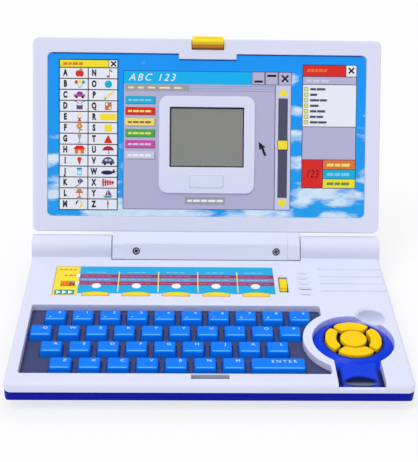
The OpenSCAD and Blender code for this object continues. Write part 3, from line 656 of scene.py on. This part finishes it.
def make_shells():
    for node, material, width, segments in (
            ("base_top", shell_white, 0.45, 2), ("base_bottom", shell_blue, 0.4, 2),
            ("lid_front", shell_white, 0.4, 2), ("lid_back", shell_back, 0.4, 2),
            ("key_plate", slate_grain, 0.25, 2), ("battery_door", shell_blue, 0.3, 2),
            ("latch", latch_shaded_plastic, 0.3, 3), ("power_switch", switch_shaded_plastic, 0.25, 2),
            ("volume_wheel", wheel_plastic, 0.3, 2), ("feet", foot_rubber, 0.5, 3)):
        soft_copy(node, material, width, segments)
    for number in range(1, 6):
        soft_copy(f"mode_button_{number}", mode_plastic, 0.45, 3)


def make_lid_screws():
    """Two pan-head screws: a bright rim, with a dark bevel, middle and raised cross as painted shade for the
    head's bevel and cross recess.
    """
    low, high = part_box("lid_screws")
    apart = (high.x - low.x) / 2 / MM - SCREW_HEAD_R
    bm = bmesh.new()
    for x in (-apart, apart):
        turned(bm, x, SCREW_U, SCREW_BEVEL, 48)
        turned(bm, x, SCREW_U, SCREW_RIM, 48, 1)
        turned(bm, x, SCREW_U, SCREW_MIDDLE, 32)
        for turn, top in ((20, 6.882), (110, 6.891)):
            add_bar(bm, x, SCREW_U, turn, -1.7, 1.7, 0.3, 6.6, top)
    piece("lid_screws_fine", bm, LID, "lid", [screw_shade_steel, zinc], ["lid_screws"], 30)


def finish_hidden_parts():
    """Gives the CAD nodes that are kept their own materials."""
    finishes = {"bottom_screws": zinc, "main_board": circuit_board(), "lcd_board": circuit_board(),
                "speaker": speaker_paper, "batteries": battery_sleeve(), "battery_contacts": zinc,
                "key_membrane": dome_rubber, "screen_card": sky_film(), "lcd_panel": lcd_glass(),
                "strip_label": strip_film}
    for node, material in finishes.items():
        for slot in frame["nodes"][node].material_slots:
            slot.material = material


# ---------- keys ----------

KEY_FLANGE = 1.8
KEY_FLANGE_T = 1.0
KEY_SKIRT = 0.5
KEY_EDGE = 0.9
KEY_DISH = 0.22
# How far back from the key's front the painted highlight on the top edge reaches.
KEY_HIGHLIGHT_REACH = 1.7
PRINT_DEPTH = 0.1
NUMBER_MARKS = "=<>+-x/%#*"


def key_cap(bm, x0, x1, y0, y1, low, high):
    """A tapered cap on its hidden flange, with a shallow dish in its top and a painted highlight along the
    front of its rounded top edge.
    """
    sections = [(KEY_FLANGE, 0.6, low), (KEY_FLANGE, 0.6, low + KEY_FLANGE_T),
                (KEY_SKIRT, 1.0, low + KEY_FLANGE_T), (0.07, 1.0, high - KEY_EDGE)]
    sections += [(-inset, max(1.0 - inset, 0.25), z) for inset, z in rounded_edge(KEY_EDGE, high, 4)]
    half = min(x1 - x0, y1 - y0) / 2 - KEY_EDGE
    for share in (0.12, 0.4, 0.75):
        depth = KEY_DISH * math.sin(math.pi / 2 * share)
        sections.append((-KEY_EDGE - half * share, 0.25 * (1 - share) + 0.05, high - depth))
    skin(bm, [rounded_ring(x0 - out, x1 + out, y0 - out, y1 + out, r, z) for out, r, z in sections])
    for face in bm.faces:
        middle = face.calc_center_median()
        # Front faces of the rounded top edge get the lighter blue: a painted highlight.
        in_front = y0 + KEY_EDGE / 2 < middle.y < y0 + KEY_HIGHLIGHT_REACH and abs(middle.x - (x0 + x1) / 2) < 0.01
        if in_front and middle.z > high - KEY_EDGE / 2:
            face.material_index = 2


def legend(bm, words, x, y, z, size, squeeze=1.0, spacing=1.0):
    mesh = text_mesh(words, size, 0.16, space_character=spacing)
    add_text(bm, mesh, (x, y, z - PRINT_DEPTH), squeeze, 1)


def make_keycaps(name, bm, node):
    piece(name, bm, BASE, node, [key_plastic, ink("legend"), key_painted_highlight], [node])


def make_letter_key(node, words):
    low, high = base_box(node)
    x0, x1 = low.x + KEY_FLANGE, high.x - KEY_FLANGE
    y0, y1 = low.y + KEY_FLANGE, high.y - KEY_FLANGE
    bm = bmesh.new()
    key_cap(bm, x0, x1, y0, y1, low.z, high.z)
    if len(words) == 1:
        legend(bm, words, x1 - 4.3, y1 - 3.4, high.z, 3.7, 1.15)
    else:
        legend(bm, words, (x0 + x1) / 2 + 4, y1 - 4, high.z, 3.6, 1.15, 1.6)
    make_keycaps(node + "_cap", bm, node)


def make_number_keys():
    low, high = base_box("number_keys")
    y0, y1 = low.y + KEY_FLANGE, high.y - KEY_FLANGE
    q_low, q_high = base_box("key_Q")
    pitch = base_box("key_W")[0].x - q_low.x
    bm = bmesh.new()
    for digit in range(10):
        x0 = low.x + KEY_FLANGE + digit * pitch
        x1 = x0 + q_high.x - q_low.x - 2 * KEY_FLANGE
        key_cap(bm, x0, x1, y0, y1, low.z, high.z)
        legend(bm, str(digit), x1 - 4.3, y1 - 3.3, high.z, 3.6, 1.15)
        legend(bm, NUMBER_MARKS[digit], x0 + 3.6, y0 + 3.6, high.z, 3.0)
    make_keycaps("number_keys_caps", bm, "number_keys")


def make_keys():
    for node in sorted(frame["nodes"]):
        if node.startswith("key_") and len(node) == 5:
            make_letter_key(node, node[-1])
    make_letter_key("key_enter", "ENTER")
    make_number_keys()


# ---------- direction pad ----------

PAD_INNER = 10.7
PAD_INNER_SIDE = 12.0
PAD_GAP = 2.1
PAD_EDGE = 0.8
PAD_CROWN = 0.3
CENTRE_CROWN = 0.35


def sector_point(angle, r0, r1, inset, turn):
    """A point of a rounded quarter of a ring, for an angle round its outline."""
    power = 2 / 5.5
    sides = math.cos(angle), math.sin(angle)
    across, along = (math.copysign(abs(side) ** power, side) for side in sides)
    r = (r0 + r1) / 2 + across * ((r1 - r0) / 2 - inset)
    swing = turn + along * (math.pi / 4 - (PAD_GAP / 2 + inset) / r)
    return PAD.x + r * math.cos(swing), PAD.y + r * math.sin(swing)


def make_pad_button(node, turn):
    low, high = base_box(node)
    inner = PAD_INNER_SIDE if node in ("pad_left", "pad_right") else PAD_INNER
    angles = [2 * math.pi * step / 64 for step in range(64)]

    def ring(outer, inset, z):
        return [(*sector_point(angle, inner, outer, inset, turn), z) for angle in angles]

    top = high.z - PAD_CROWN
    profile = [(0, low.z), (0, top - PAD_EDGE)] + rounded_edge(PAD_EDGE, top, 6)
    for share in (0.3, 0.6, 0.85, 1):
        profile.append((PAD_EDGE + 2.4 * share, top + PAD_CROWN * math.sin(math.pi / 2 * share)))
    bm = bmesh.new()
    skin(bm, [ring(PAD_OUTER, inset, z) for inset, z in profile])
    skin(bm, [ring(PAD_OUTER + PAD_FLANGE, 0, z) for z in (low.z, low.z + 1)])
    piece(node + "_cap", bm, BASE, node, [pad_plastic], [node])


def make_pad_centre():
    low, high = base_box("pad_centre")
    flange_r = high.x - PAD.x
    r = flange_r - 1.05
    top = high.z - CENTRE_CROWN
    profile = [(flange_r, low.z), (flange_r, low.z + 1), (r, low.z + 1), (r, top - PAD_EDGE)]
    profile += [(r - inset, z) for inset, z in rounded_edge(PAD_EDGE, top, 6)]
    for share in (0.85, 0.6, 0.3, 0.05):
        profile.append(((r - PAD_EDGE) * share, high.z - CENTRE_CROWN * share ** 2))
    bm = bmesh.new()
    turned(bm, PAD.x, PAD.y, profile)
    piece("pad_centre_cap", bm, BASE, "pad_centre", [pad_plastic], ["pad_centre"])


BOWL_LOW = 16.2
BOWL_RIM = 21.2
WELL_R = 28.4
TAIL_END = -48.0
TAIL_HIGH = 18.5
TAIL_LOW = 15.4
TAIL_SLOPE = 4.2
SCOOP_DEPTH = 2.4
HOLE_R = PAD_OUTER + 0.5


def insert_reach(angle):
    """Distance from the pad's centre to the insert's edge, in a direction."""
    cx, sy = math.cos(angle), math.sin(angle)
    reach = WELL_R
    if sy < 0:
        side = TAIL_X + math.copysign(TAIL_HALF_WIDTH, cx)
        to_side = side / cx if abs(cx) > 1e-9 else 1e9
        reach = max(reach, min(to_side, TAIL_END / sy))
    return reach


def smooth(value, start, end):
    """0 before start, 1 after end, and a soft step between."""
    share = min(1, max(0, (value - start) / (end - start)))
    return share * share * (3 - 2 * share)


def scoop_share(x, y):
    """How far a point, measured from the pad's centre, is inside the finger scoop, from 0 to 1."""
    inside = min(r - math.hypot(PAD.x + x - cx, PAD.y + y - cy) for cx, cy, r in scoop_circles())
    return smooth(inside, -0.2, 0.3)


def insert_height(x, y):
    """Height of the insert's upper face: a bowl with a rim round the buttons, and a pillowed tail."""
    r = math.hypot(x, y)
    bowl = BOWL_RIM - (BOWL_RIM - BOWL_LOW) * smooth(r, HOLE_R + 0.6, WELL_R + 0.6)
    bowl -= 0.5 * (1 - smooth(r, HOLE_R, HOLE_R + 0.6))
    across = TAIL_HALF_WIDTH - abs(x - TAIL_X)
    waist = 0.8 * math.sin(math.pi * min(1, max(0, (-y - 22) / 24)))
    tail = TAIL_LOW + (TAIL_HIGH - TAIL_LOW) * smooth(across, -0.5, TAIL_SLOPE + waist)
    tail -= 0.8 * smooth(-y, -TAIL_END - 1, -TAIL_END) + SCOOP_DEPTH * scoop_share(x, y)
    on_tail = y < 0 and across > 0
    return max(bowl, tail) if on_tail else bowl


def make_pad_insert():
    """The blue insert: a rim round the buttons, a flared bowl, and a tail with a finger scoop."""
    low = base_box("pad_insert")[0].z
    angles = [math.radians(angle) for angle in range(-30, 210, 3)]
    angles += [math.radians(210 + 0.5 * step) for step in range(240)]
    flange_z = low + 1.5
    across = 70

    def ring(share, z=None, out=-0.3):
        points = []
        for angle in angles:
            r = HOLE_R + (insert_reach(angle) + out - HOLE_R) * share
            x, y = r * math.cos(angle), r * math.sin(angle)
            points.append((PAD.x + x, PAD.y + y, insert_height(x, y) if z is None else z))
        return points

    rings = [ring(0, low)] + [ring(step / across) for step in range(across + 1)]
    rings += [ring(1, flange_z), ring(1, flange_z, 1.1), ring(1, low, 1.1)]
    bm = bmesh.new()
    skin(bm, rings, loop=True)
    add_pad_web(bm, low)
    piece("pad_insert_body", bm, BASE, "base", [insert_shaded_plastic, web_painted_shade],
          ["pad_insert"], 50)


def add_pad_web(bm, low):
    """The web between the buttons, a ring and four arms, coloured dark as painted shade in the gaps."""
    high = BOWL_RIM - 0.6
    inner, outer = PAD_INNER - 1.3, PAD_INNER - 0.25
    profile = [(inner, low), (inner, high), (outer, high), (outer, low)]
    turned(bm, PAD.x, PAD.y, profile, 60, 1, True)
    for turn in (45, 135, 225, 315):
        add_bar(bm, PAD.x, PAD.y, turn, outer - 0.1, HOLE_R + 0.1, 0.5, low, high - 0.02, 1)


DISH = Vector((117, -87.5))
DISH_R = 11.3
DISH_LOW = 17.6
DISH_HIGH = 21.3


def make_dish():
    """The soft hollow beside the pad: a shallow bowl that runs out into the well."""
    away = PAD.xy - DISH
    steps, across = 72, 14
    reaches = []
    for step in range(steps):
        angle = 2 * math.pi * step / steps
        along = Vector((math.cos(angle), math.sin(angle)))
        to_middle = along.dot(away)
        inside = (WELL_R + 0.4) ** 2 - away.length_squared + to_middle ** 2
        to_well = to_middle - math.sqrt(inside) if inside > 0 and to_middle > 0 else DISH_R
        reaches.append((along, min(DISH_R, to_well)))
    rings = [[(*(DISH + along * reach), DISH_LOW - 0.2) for along, reach in reaches]]
    for step in range(across, 0, -1):
        ring = []
        for along, reach in reaches:
            r = reach * step / across
            height = DISH_LOW + (DISH_HIGH - DISH_LOW) * (r / DISH_R) ** 4
            ring.append((*(DISH + along * r), height))
        rings.append(ring)
    bm = bmesh.new()
    skin(bm, rings)
    # Its material holds painted shade on the bowl's far wall.
    piece("dish_bowl", bm, BASE, "base", [dish_painted_shade], smooth_below=40)


def make_pad():
    make_pad_insert()
    make_dish()
    for node, turn in (("pad_right", 0), ("pad_up", 90), ("pad_left", 180), ("pad_down", 270)):
        make_pad_button(node, math.radians(turn))
    make_pad_centre()


# ---------- prints on the lid's card ----------

CARD_TOP = 1.8
LCD_TOP = 1.15
UNDER_SURROUND = (-34.9, 34.6, 44.7, 115.3)
CHART = (-115, -69.2, 28.4, 145.3)
CHART_SPLIT = -92.4
CHART_TITLE = 138.4
CHART_ROWS = 13


ICONS = {
    "A": [("oval red", -0.3, -0.1, 0.5, 0.62), ("oval red", 0.3, -0.1, 0.5, 0.62),
          ("line brown", 0, 0.4, 0.15, 0.9, 0.16), ("oval leaf", 0.38, 0.7, 0.25, 0.12)],
    "B": [("line dark_grey", -0.6, 0.3, 0, -0.8, 0.08), ("line dark_grey", 0.7, 0.3, 0, -0.8, 0.08),
          ("oval red", -0.65, 0.35, 0.3, 0.36), ("oval yellow", 0.05, 0.5, 0.34, 0.4),
          ("oval cyan", 0.75, 0.35, 0.3, 0.36)],
    "C": [("rect magenta", -1.1, 1.1, -0.35, 0.12),
          ("shape violet", [(-0.6, 0.12), (0.7, 0.12), (0.4, 0.65), (-0.35, 0.65)]),
          ("oval black", -0.6, -0.4, 0.25, 0.25), ("oval black", 0.6, -0.4, 0.25, 0.25)],
    "D": [("rect violet", -0.6, 0.6, -0.65, 0.35), ("oval paper", 0, 0.35, 0.6, 0.22),
          ("line dark_grey", -0.95, 0.95, -0.1, 0.5, 0.12),
          ("line dark_grey", 0.95, 0.95, 0.2, 0.5, 0.12)],
    "E": [("shape crimson", [(-0.5, 0), (0.5, 0), (0.15, -0.5), (0.4, -0.85), (-0.4, -0.85), (-0.15, -0.5)]),
          ("oval cream", 0, 0.3, 0.42, 0.55)],
    "F": [("line leaf", 0, 0.2, 0, -0.9, 0.14), ("oval leaf", 0.3, -0.4, 0.3, 0.12)]
         + [("oval orange", x, y, 0.22, 0.22) for x, y in arc(0, 0.35, 0.36, 0.36, 0, 300, 5)]
         + [("oval yellow", 0, 0.35, 0.2, 0.2)],
    "G": [("shape grey", [(-0.45, 0.85), (0.45, 0.85), (0.12, -0.05), (-0.12, -0.05)]),
          ("line grey", 0, 0, 0, -0.75, 0.14), ("rect grey", -0.4, 0.4, -0.85, -0.7)],
    "H": [("rect orange", -0.9, 0.9, -0.75, 0.15),
          ("shape red", [(-1.2, 0.1), (1.2, 0.1), (0.6, 0.8), (-0.6, 0.8)]),
          ("rect cream", -0.22, 0.22, -0.75, -0.1)],
    "I": [("shape brown", [(-0.35, 0.1), (0.35, 0.1), (0, -0.85)]), ("oval red", 0, 0.35, 0.42, 0.38)],
    "J": [("rect sky", -0.45, 0.45, -0.75, 0.45), ("rect blue", -0.5, 0.5, 0.45, 0.75),
          ("rect paper", -0.3, 0.3, -0.45, 0.1)],
    "K": [("shape violet", [(0.2, 0.9), (0.8, 0.3), (0, -0.45), (-0.4, 0.35)]),
          ("line navy", 0, -0.4, -0.8, -0.85, 0.14), ("line pale", 0.2, 0.9, 0, -0.45, 0.08)],
    "L": [("shape orange", [(-0.35, 0.85), (0.35, 0.85), (0.75, 0.05), (-0.75, 0.05)]),
          ("line brown", 0, 0.05, 0, -0.7, 0.2), ("rect brown", -0.42, 0.42, -0.85, -0.65)],
    "M": [("shape yellow", arc(0, 0, 0.62, 0.75, -80, 190, 18) + arc(-0.22, 0.12, 0.5, 0.6, 175, -65, 18))],
    "N": [("line grey", 0.2, -0.55, 0.2, 0.85, 0.12), ("oval brown", -0.05, -0.6, 0.3, 0.22),
          ("shape brown", [(0.2, 0.85), (0.8, 0.4), (0.75, 0.15), (0.2, 0.5)])],
    "O": [("oval cyan", 0, 0, 0.72, 0.72)],
    "P": [("line lemon", -0.5, -0.5, 0.9, 0.6, 0.42),
          ("shape brown", [(-0.9, -0.85), (-0.62, -0.4), (-0.36, -0.72)])],
    "Q": [("rect brown", -0.62, 0.62, -0.75, 0.75), ("rect cream", -0.5, -0.08, 0.08, 0.62),
          ("rect cream", 0.08, 0.5, -0.62, -0.08), ("rect orange", 0.08, 0.5, 0.08, 0.62),
          ("rect orange", -0.5, -0.08, -0.62, -0.08)],
    "R": [("rect yellow", -1.6, 1.6, -0.62, 0.62)],
    "S": [("rect yellow", -0.72, 0.72, -0.72, 0.72)],
    "T": [("shape red", [(0, 0.85), (-0.85, -0.8), (0.85, -0.8)])],
    "U": [("line dark_grey", 0.05, 0, 0.05, -0.75, 0.12), ("line dark_grey", 0.05, -0.75, 0.35, -0.6, 0.12),
          ("shape crimson", arc(0, -0.1, 1.1, 0.85, 0, 180))],
    "V": [("shape dark_grey", arc(0, -0.55, 1.25, 1.3, 0, 180)),
          ("rect pale", -0.6, -0.1, -0.05, 0.35), ("rect pale", 0.1, 0.6, -0.05, 0.35),
          ("oval black", -0.6, -0.6, 0.24, 0.24), ("oval black", 0.6, -0.6, 0.24, 0.24)],
    "W": [("oval navy", -0.2, -0.15, 1.15, 0.42),
          ("shape navy", [(0.7, -0.1), (1.2, 0.65), (1.3, 0.1), (1.75, 0.15), (1.1, -0.3)])],
    "X": [("rect red", -1.1 + 0.46 * i, -0.78 + 0.46 * i, -0.75 + 0.1 * i, 0.75 - 0.1 * i)
          for i in range(5)] + [("line black", -1.3, 0.1, 1.2, 0.05, 0.1)],
    "Y": [("shape violet", [(0.05, 0.9), (0.05, -0.35), (0.75, -0.35)]),
          ("shape crimson", [(-0.08, 0.7), (-0.55, -0.35), (-0.08, -0.35)]),
          ("shape teal", [(-0.95, -0.45), (0.95, -0.45), (0.6, -0.8), (-0.6, -0.8)])],
    "Z": [("line orange", 0, 0.85, 0, -0.85, 0.22), ("oval brown", 0, 0.2, 0.2, 0.26)],
}


def draw_icon(sheet, letter, x, y, size):
    """Draws a letter's small picture, each stroke one layer above the last."""
    sheet.x, sheet.y, sheet.scale = x, y, size
    for step, (stroke, *values) in enumerate(ICONS[letter]):
        kind, colour = stroke.split()
        getattr(sheet, kind)(colour, *values, 3 + 0.3 * step)
    sheet.x, sheet.y, sheet.scale = 0, 0, 1


def make_alphabet_chart():
    """26 letters in two columns, each with a plain little picture."""
    x0, x1, u0, u1 = CHART
    sheet = Print(CARD_TOP)
    sheet.rect("black", x0, x1, u0, u1)
    line = 0.75
    sheet.rect("yellow", x0 + line, -76.8, CHART_TITLE + line, u1 - line, 2)
    sheet.rect("paper", -76.3, x1 - line, CHART_TITLE + line, u1 - line, 2)
    sheet.cross(-72.9, (CHART_TITLE + u1) / 2, 1.9, 1.2, 3)
    sheet.dashes("orange", x0 + 3, 140.6, (3.4, 2.2, 4.1, 3.0), 2.1, 3, 0.8, 0.3)
    row = (CHART_TITLE - u0) / CHART_ROWS
    columns = ((x0 + line, CHART_SPLIT - line / 2), (CHART_SPLIT + line / 2, x1 - line))
    for index, letter in enumerate(ICONS):
        column, place = divmod(index, CHART_ROWS)
        left, right = columns[column]
        low = CHART_TITLE - (place + 1) * row
        sheet.rect("paper", left, right, low + line, low + row, 2)
        middle = low + (row + line) / 2
        sheet.text("black", letter, left + 4.2, middle, 6.6, 3, 0.66, offset=0.4)
        draw_icon(sheet, letter, left + 15.2, middle, 4.0)
    sheet.make("alphabet_chart")


def make_main_window():
    """The window round the display: title bar, menu, buttons, scroll bar and pointer."""
    x0, x1, u0, u1 = -65.3, 65.4, 29.5, 137
    title, menu = 126.8, 121.3
    sheet = Print(CARD_TOP)
    edge = (x0 + 0.4, x1 - 0.4, u0 + 0.4, u1 - 0.4)
    sheet.frame("navy", (x0, x1, u0, u1), edge)
    sheet.frame("lavender", edge, UNDER_SURROUND)
    sheet.rect("azure", x0 + 0.4, 34.4, title, u1 - 0.4, 3)
    sheet.text("white", "ABC 123", -43.2, 131.6, 7.8, 4, shear=0.3, space_character=1.3)
    for left in (34.4, 44.8, 55.2):
        sheet.rect("navy", left, left + 10.2, title, u1, 3)
        sheet.rect("lavender", left + 0.4, left + 9.8, title + 0.4, u1 - 0.4, 4)
    sheet.rect("black", 36.4, 42.9, 128.6, 130.3, 5)
    sheet.rect("black", 46.4, 53.4, 133.1, 134.9, 5)
    sheet.cross(60.3, 131.9, 2.5, 1.4, 5)
    sheet.rect("grey", -64, -14, menu, title - 0.4, 3)
    sheet.dashes("cream", -61.5, 123.1, (4.4, 4.6, 5.4, 8.4, 5.8), 1.5, 4, 3.2)
    for line in (125.4, 123.5, 121.6):
        sheet.rect("steel_blue", -13, 52.5, line, line + 0.3, 3)
    buttons = (("cyan", "sky"), ("red", "lemon"), ("lemon", "brown"), ("green", "lemon"),
               ("magenta", "pale"), ("pale", "white"))
    for index, (colour, words) in enumerate(buttons):
        top = 117.3 - 8.55 * index
        sheet.rect("dark_grey", -63.2, -40.3, top - 6.2, top - 0.3, 3)
        sheet.rect(colour, -63.6, -40.8, top - 5.8, top, 4)
        sheet.dashes(words, -61.6, top - 3.9, (3.0, 4.4, 3.4, 4.6), 1.6, 5, 0.8, 0.1)
    make_scroll_bar(sheet, title, u0)
    pointer = [(40.1, 82.9), (40.8, 76.3), (42.2, 77.6), (44.6, 71.6),
               (46.4, 72.3), (44.0, 78.3), (45.9, 78.4)]
    sheet.shape("black", pointer, 3)
    sheet.rect("grey", -17, 14.4, 33.6, 39.2, 3)
    sheet.dashes("white", -15.2, 35.5, (3.4, 5.4, 4.8, 5.6, 5.0), 1.8, 4, 0.9, 0.25)
    sheet.make("main_window")


def make_scroll_bar(sheet, top, bottom):
    sheet.rect("navy", 52.6, 53.1, bottom, top, 3)
    sheet.rect("pale", 53.1, 65, bottom + 0.4, top, 3)
    sheet.rect("dark_grey", 55.3, 62.7, 39.2, 116.6, 4)
    sheet.shape("yellow", [(54.9, 118.4), (63.1, 118.4), (59, 124.4)], 4)
    sheet.shape("yellow", [(55.2, 36.2), (57, 37.7), (61, 37.7), (62.8, 36.2), (59, 31.2)], 4)
    sheet.rect("navy", 54.9, 63.1, 76.3, 84.3, 5)
    sheet.rect("yellow", 55.3, 62.7, 77, 83.8, 6)


def make_list_window():
    """The right window: marked lines, a blank field, and four coloured blocks."""
    x0, x1, u0, u1 = 73.9, 116.4, 46.8, 143.1
    title, bar, field, block = 134.1, 127.4, 94.6, 69.0
    sheet = Print(CARD_TOP)
    sheet.rect("navy", x0, x1, u0, u1)
    line = 0.5
    sheet.rect("red", x0 + line, 107.6, title, u1 - line, 2)
    sheet.rect("paper", 108.1, x1 - line, title, u1 - line, 2)
    sheet.cross(112, (title + u1) / 2, 2.1, 1.25, 3)
    sheet.dashes("orange", x0 + 3.2, 137.4, (2.2, 2.6, 2.2, 3.0, 2.4), 2.3, 3, 0.7, 0.4)
    sheet.rect("lavender", x0 + line, x1 - line, bar + line, title - line, 2)
    sheet.dashes("pale", x0 + 3, 129.4, (4, 5, 6), 2, 3, 1.2)
    sheet.rect("paper", x0 + line, x1 - line, field + line, bar, 2)
    lines = ((4.5, 6.8), (5.4,), (7.2, 5.4), (6.6,), (5, 6.4), (4.6, 5.2), (6, 6.6))
    for index, lengths in enumerate(lines):
        u = 122.9 - 4.28 * index
        sheet.rect("leaf", x0 + 1.4, x0 + 4.6, u - 0.4, u + 2.7, 3)
        sheet.rect("lemon", x0 + 1.8, x0 + 4.2, u, u + 2.3, 4)
        sheet.dashes("dark_grey", x0 + 6, u + 0.2, lengths, 1.8, 3, 0.5, 0.15)
    sheet.rect("lavender", x0 + line, x1 - line, block + line, field, 2)
    sheet.rect("red", x0 + line, 90.4, u0 + line, block, 2)
    sheet.text("black", "123", 82.3, 57.9, 8.6, 3, 0.82, shear=0.15)
    rows = (("orange", "lemon", 61.9, 69.0), ("cyan", "sky", 54.6, 61.4), ("yellow", "leaf", 47.3, 54.1))
    for colour, words, low, high in rows:
        sheet.rect(colour, 90.9, x1 - line, low, high, 2)
        sheet.dashes(words, 93.6, low + 2.2, (5.4, 4.2, 6.4), 2.2, 3, 0.9, 0.2)
    sheet.make("list_window")


def make_display_edge():
    """The dark mask printed round the display's glass."""
    sheet = Print(LCD_TOP)
    sheet.frame("black", (-29.1, 28.7, 62.6, 109.2), (-28, 27.9, 63.5, 108))
    sheet.make("display_mask")


def make_card_edge():
    """A painted shadow: the dark line along the card's upper edge, below the bezel and its tab."""
    sheet = Print(CARD_TOP)
    for x0, x1, top in ((-120, -22.4, 150.2), (22.4, 120, 150.2), (-22.2, 22.2, 146)):
        sheet.rect("shadow_blue", x0, x1, top - 0.8, top)
    sheet.make("card_edge_shadow")


# ---------- prints on the deck's label ----------

STRIP_TOP = 21.7
MODE_X = [sum(base_box(f"mode_button_{number}"), Vector()).x / 2 for number in range(1, 6)]


def make_strip_print():
    """A yellow end round the switch, and two dark bands with five white spots."""
    sheet = Print(STRIP_TOP)
    x0, x1, y1 = -114.3, 50.4, -23.3
    split = -96
    tab_y = -62.8
    sheet.frame("yellow", (x0, split, tab_y, y1), (-109, -98.5, -51, -44))
    sheet.rect("brown", x0, x0 + 0.35, tab_y, y1, 2)
    sheet.rect("brown", x0, split, y1 - 0.35, y1, 2)
    sheet.dashes("brown", x0 + 3, -28.6, (2.2, 2.8, 2.4, 1.8), 1.1, 2, 1)
    sheet.dashes("orange", x0 + 7, -36.8, (2.4, 3.2, 2.0), 1.6, 2, 0.8)
    sheet.rect("teal", -112.6, -98, -62.2, -56, 2)
    for x in (-111.2, -106.8, -102.4):
        sheet.shape("white", [(x, -61.4), (x + 3.4, -59.1), (x, -56.8)], 3)
    for y in (-36.5, -46.6):
        sheet.rect("white", -98.2, -95.4, y - 2.2, y + 2.2, 3)
    sheet.rect("yellow", -97.4, -96.2, -47.9, -45.3, 4)
    for y, high in ((-39.3, -34.4), (-49.2, -44.3)):
        sheet.rect("maroon", split, x1, y, high)
        for x in MODE_X:
            sheet.dashes("pink", x - 12, y + 2.0, (5.4, 3.8, 6.2, 4.6), 0.8, 2, 0.9)
    sheet.rect("steel_blue", split, x1, -44.3, -39.3)
    for index, x in enumerate(MODE_X):
        sheet.dashes("sky", x - 11.6, -42.2, (4.2, 5.8, 3.6, 5.2), 0.9, 2, 0.9)
        sheet.dashes("sky", x - 7.4, -32.2, (3.8, 4.6, 3.4), 1.0, 2, 0.9)
        sheet.oval("white", x, -50.2, 3.4, 3.2, 3)
        if index < len(MODE_X) - 1:
            sheet.rect("lemon", x + 15.8, x + 16.6, -58.5, -30.5, 3)
    sheet.make("strip_print", BASE, "base")


# ---------- stage ----------

def make_floor():
    bpy.ops.mesh.primitive_plane_add(size=12, location=(0, 0, 0))
    floor = bpy.context.object
    floor.name = "floor"
    floor.data.materials.append(floor_paper())


def soft_sun(name, place, strength, spread):
    """Even light from one side, with soft-edged shadows."""
    data = bpy.data.lights.new(name, "SUN")
    data.energy = strength
    data.angle = math.radians(spread)
    light = new_object(name, data)
    light.rotation_euler = Vector(place).to_track_quat("Z", "Y").to_euler()


def make_lights():
    world = bpy.data.worlds.new("studio")
    world.use_nodes = True
    background = world.node_tree.nodes["Background"]
    background.inputs["Color"].default_value = (0.97, 0.98, 1.0, 1)
    background.inputs["Strength"].default_value = 0.52
    bpy.context.scene.world = world
    soft_sun("key_light", (-0.5, -0.35, 1.2), 1.15, 30)
    soft_sun("top_light", (0.15, 0.35, 1.2), 0.65, 60)
    soft_sun("front_fill", (0.1, -1, 0.4), 0.22, 60)


def make_camera():
    """The photograph's viewing angle, measured from the hinge axis."""
    pitch, yaw, roll = (math.radians(a) for a in (30.079, 1.856, 1.353))
    ahead = Vector((math.sin(yaw) * math.cos(pitch), math.cos(yaw) * math.cos(pitch), -math.sin(pitch)))
    right = Vector((math.cos(yaw), -math.sin(yaw), 0))
    up = right.cross(ahead)
    tilted_right = math.cos(roll) * right + math.sin(roll) * up
    tilted_up = math.cos(roll) * up - math.sin(roll) * right
    data = bpy.data.cameras.new("camera")
    data.lens = 83.16
    data.sensor_width = 36
    camera = new_object("camera", data)
    turn = Matrix((tilted_right, tilted_up, -ahead)).transposed().to_4x4()
    place = Vector((-0.02126, hinge.y - 0.71714, 0.45585))
    camera.matrix_world = Matrix.Translation(place) @ turn
    bpy.context.scene.camera = camera


bpy.context.scene.view_settings.view_transform = "Standard"
make_camera()
make_lights()
make_floor()
make_shells()
make_lid_screws()
finish_hidden_parts()
make_keys()
make_pad()
make_card_edge()
make_alphabet_chart()
make_main_window()
make_list_window()
make_display_edge()
make_strip_print()
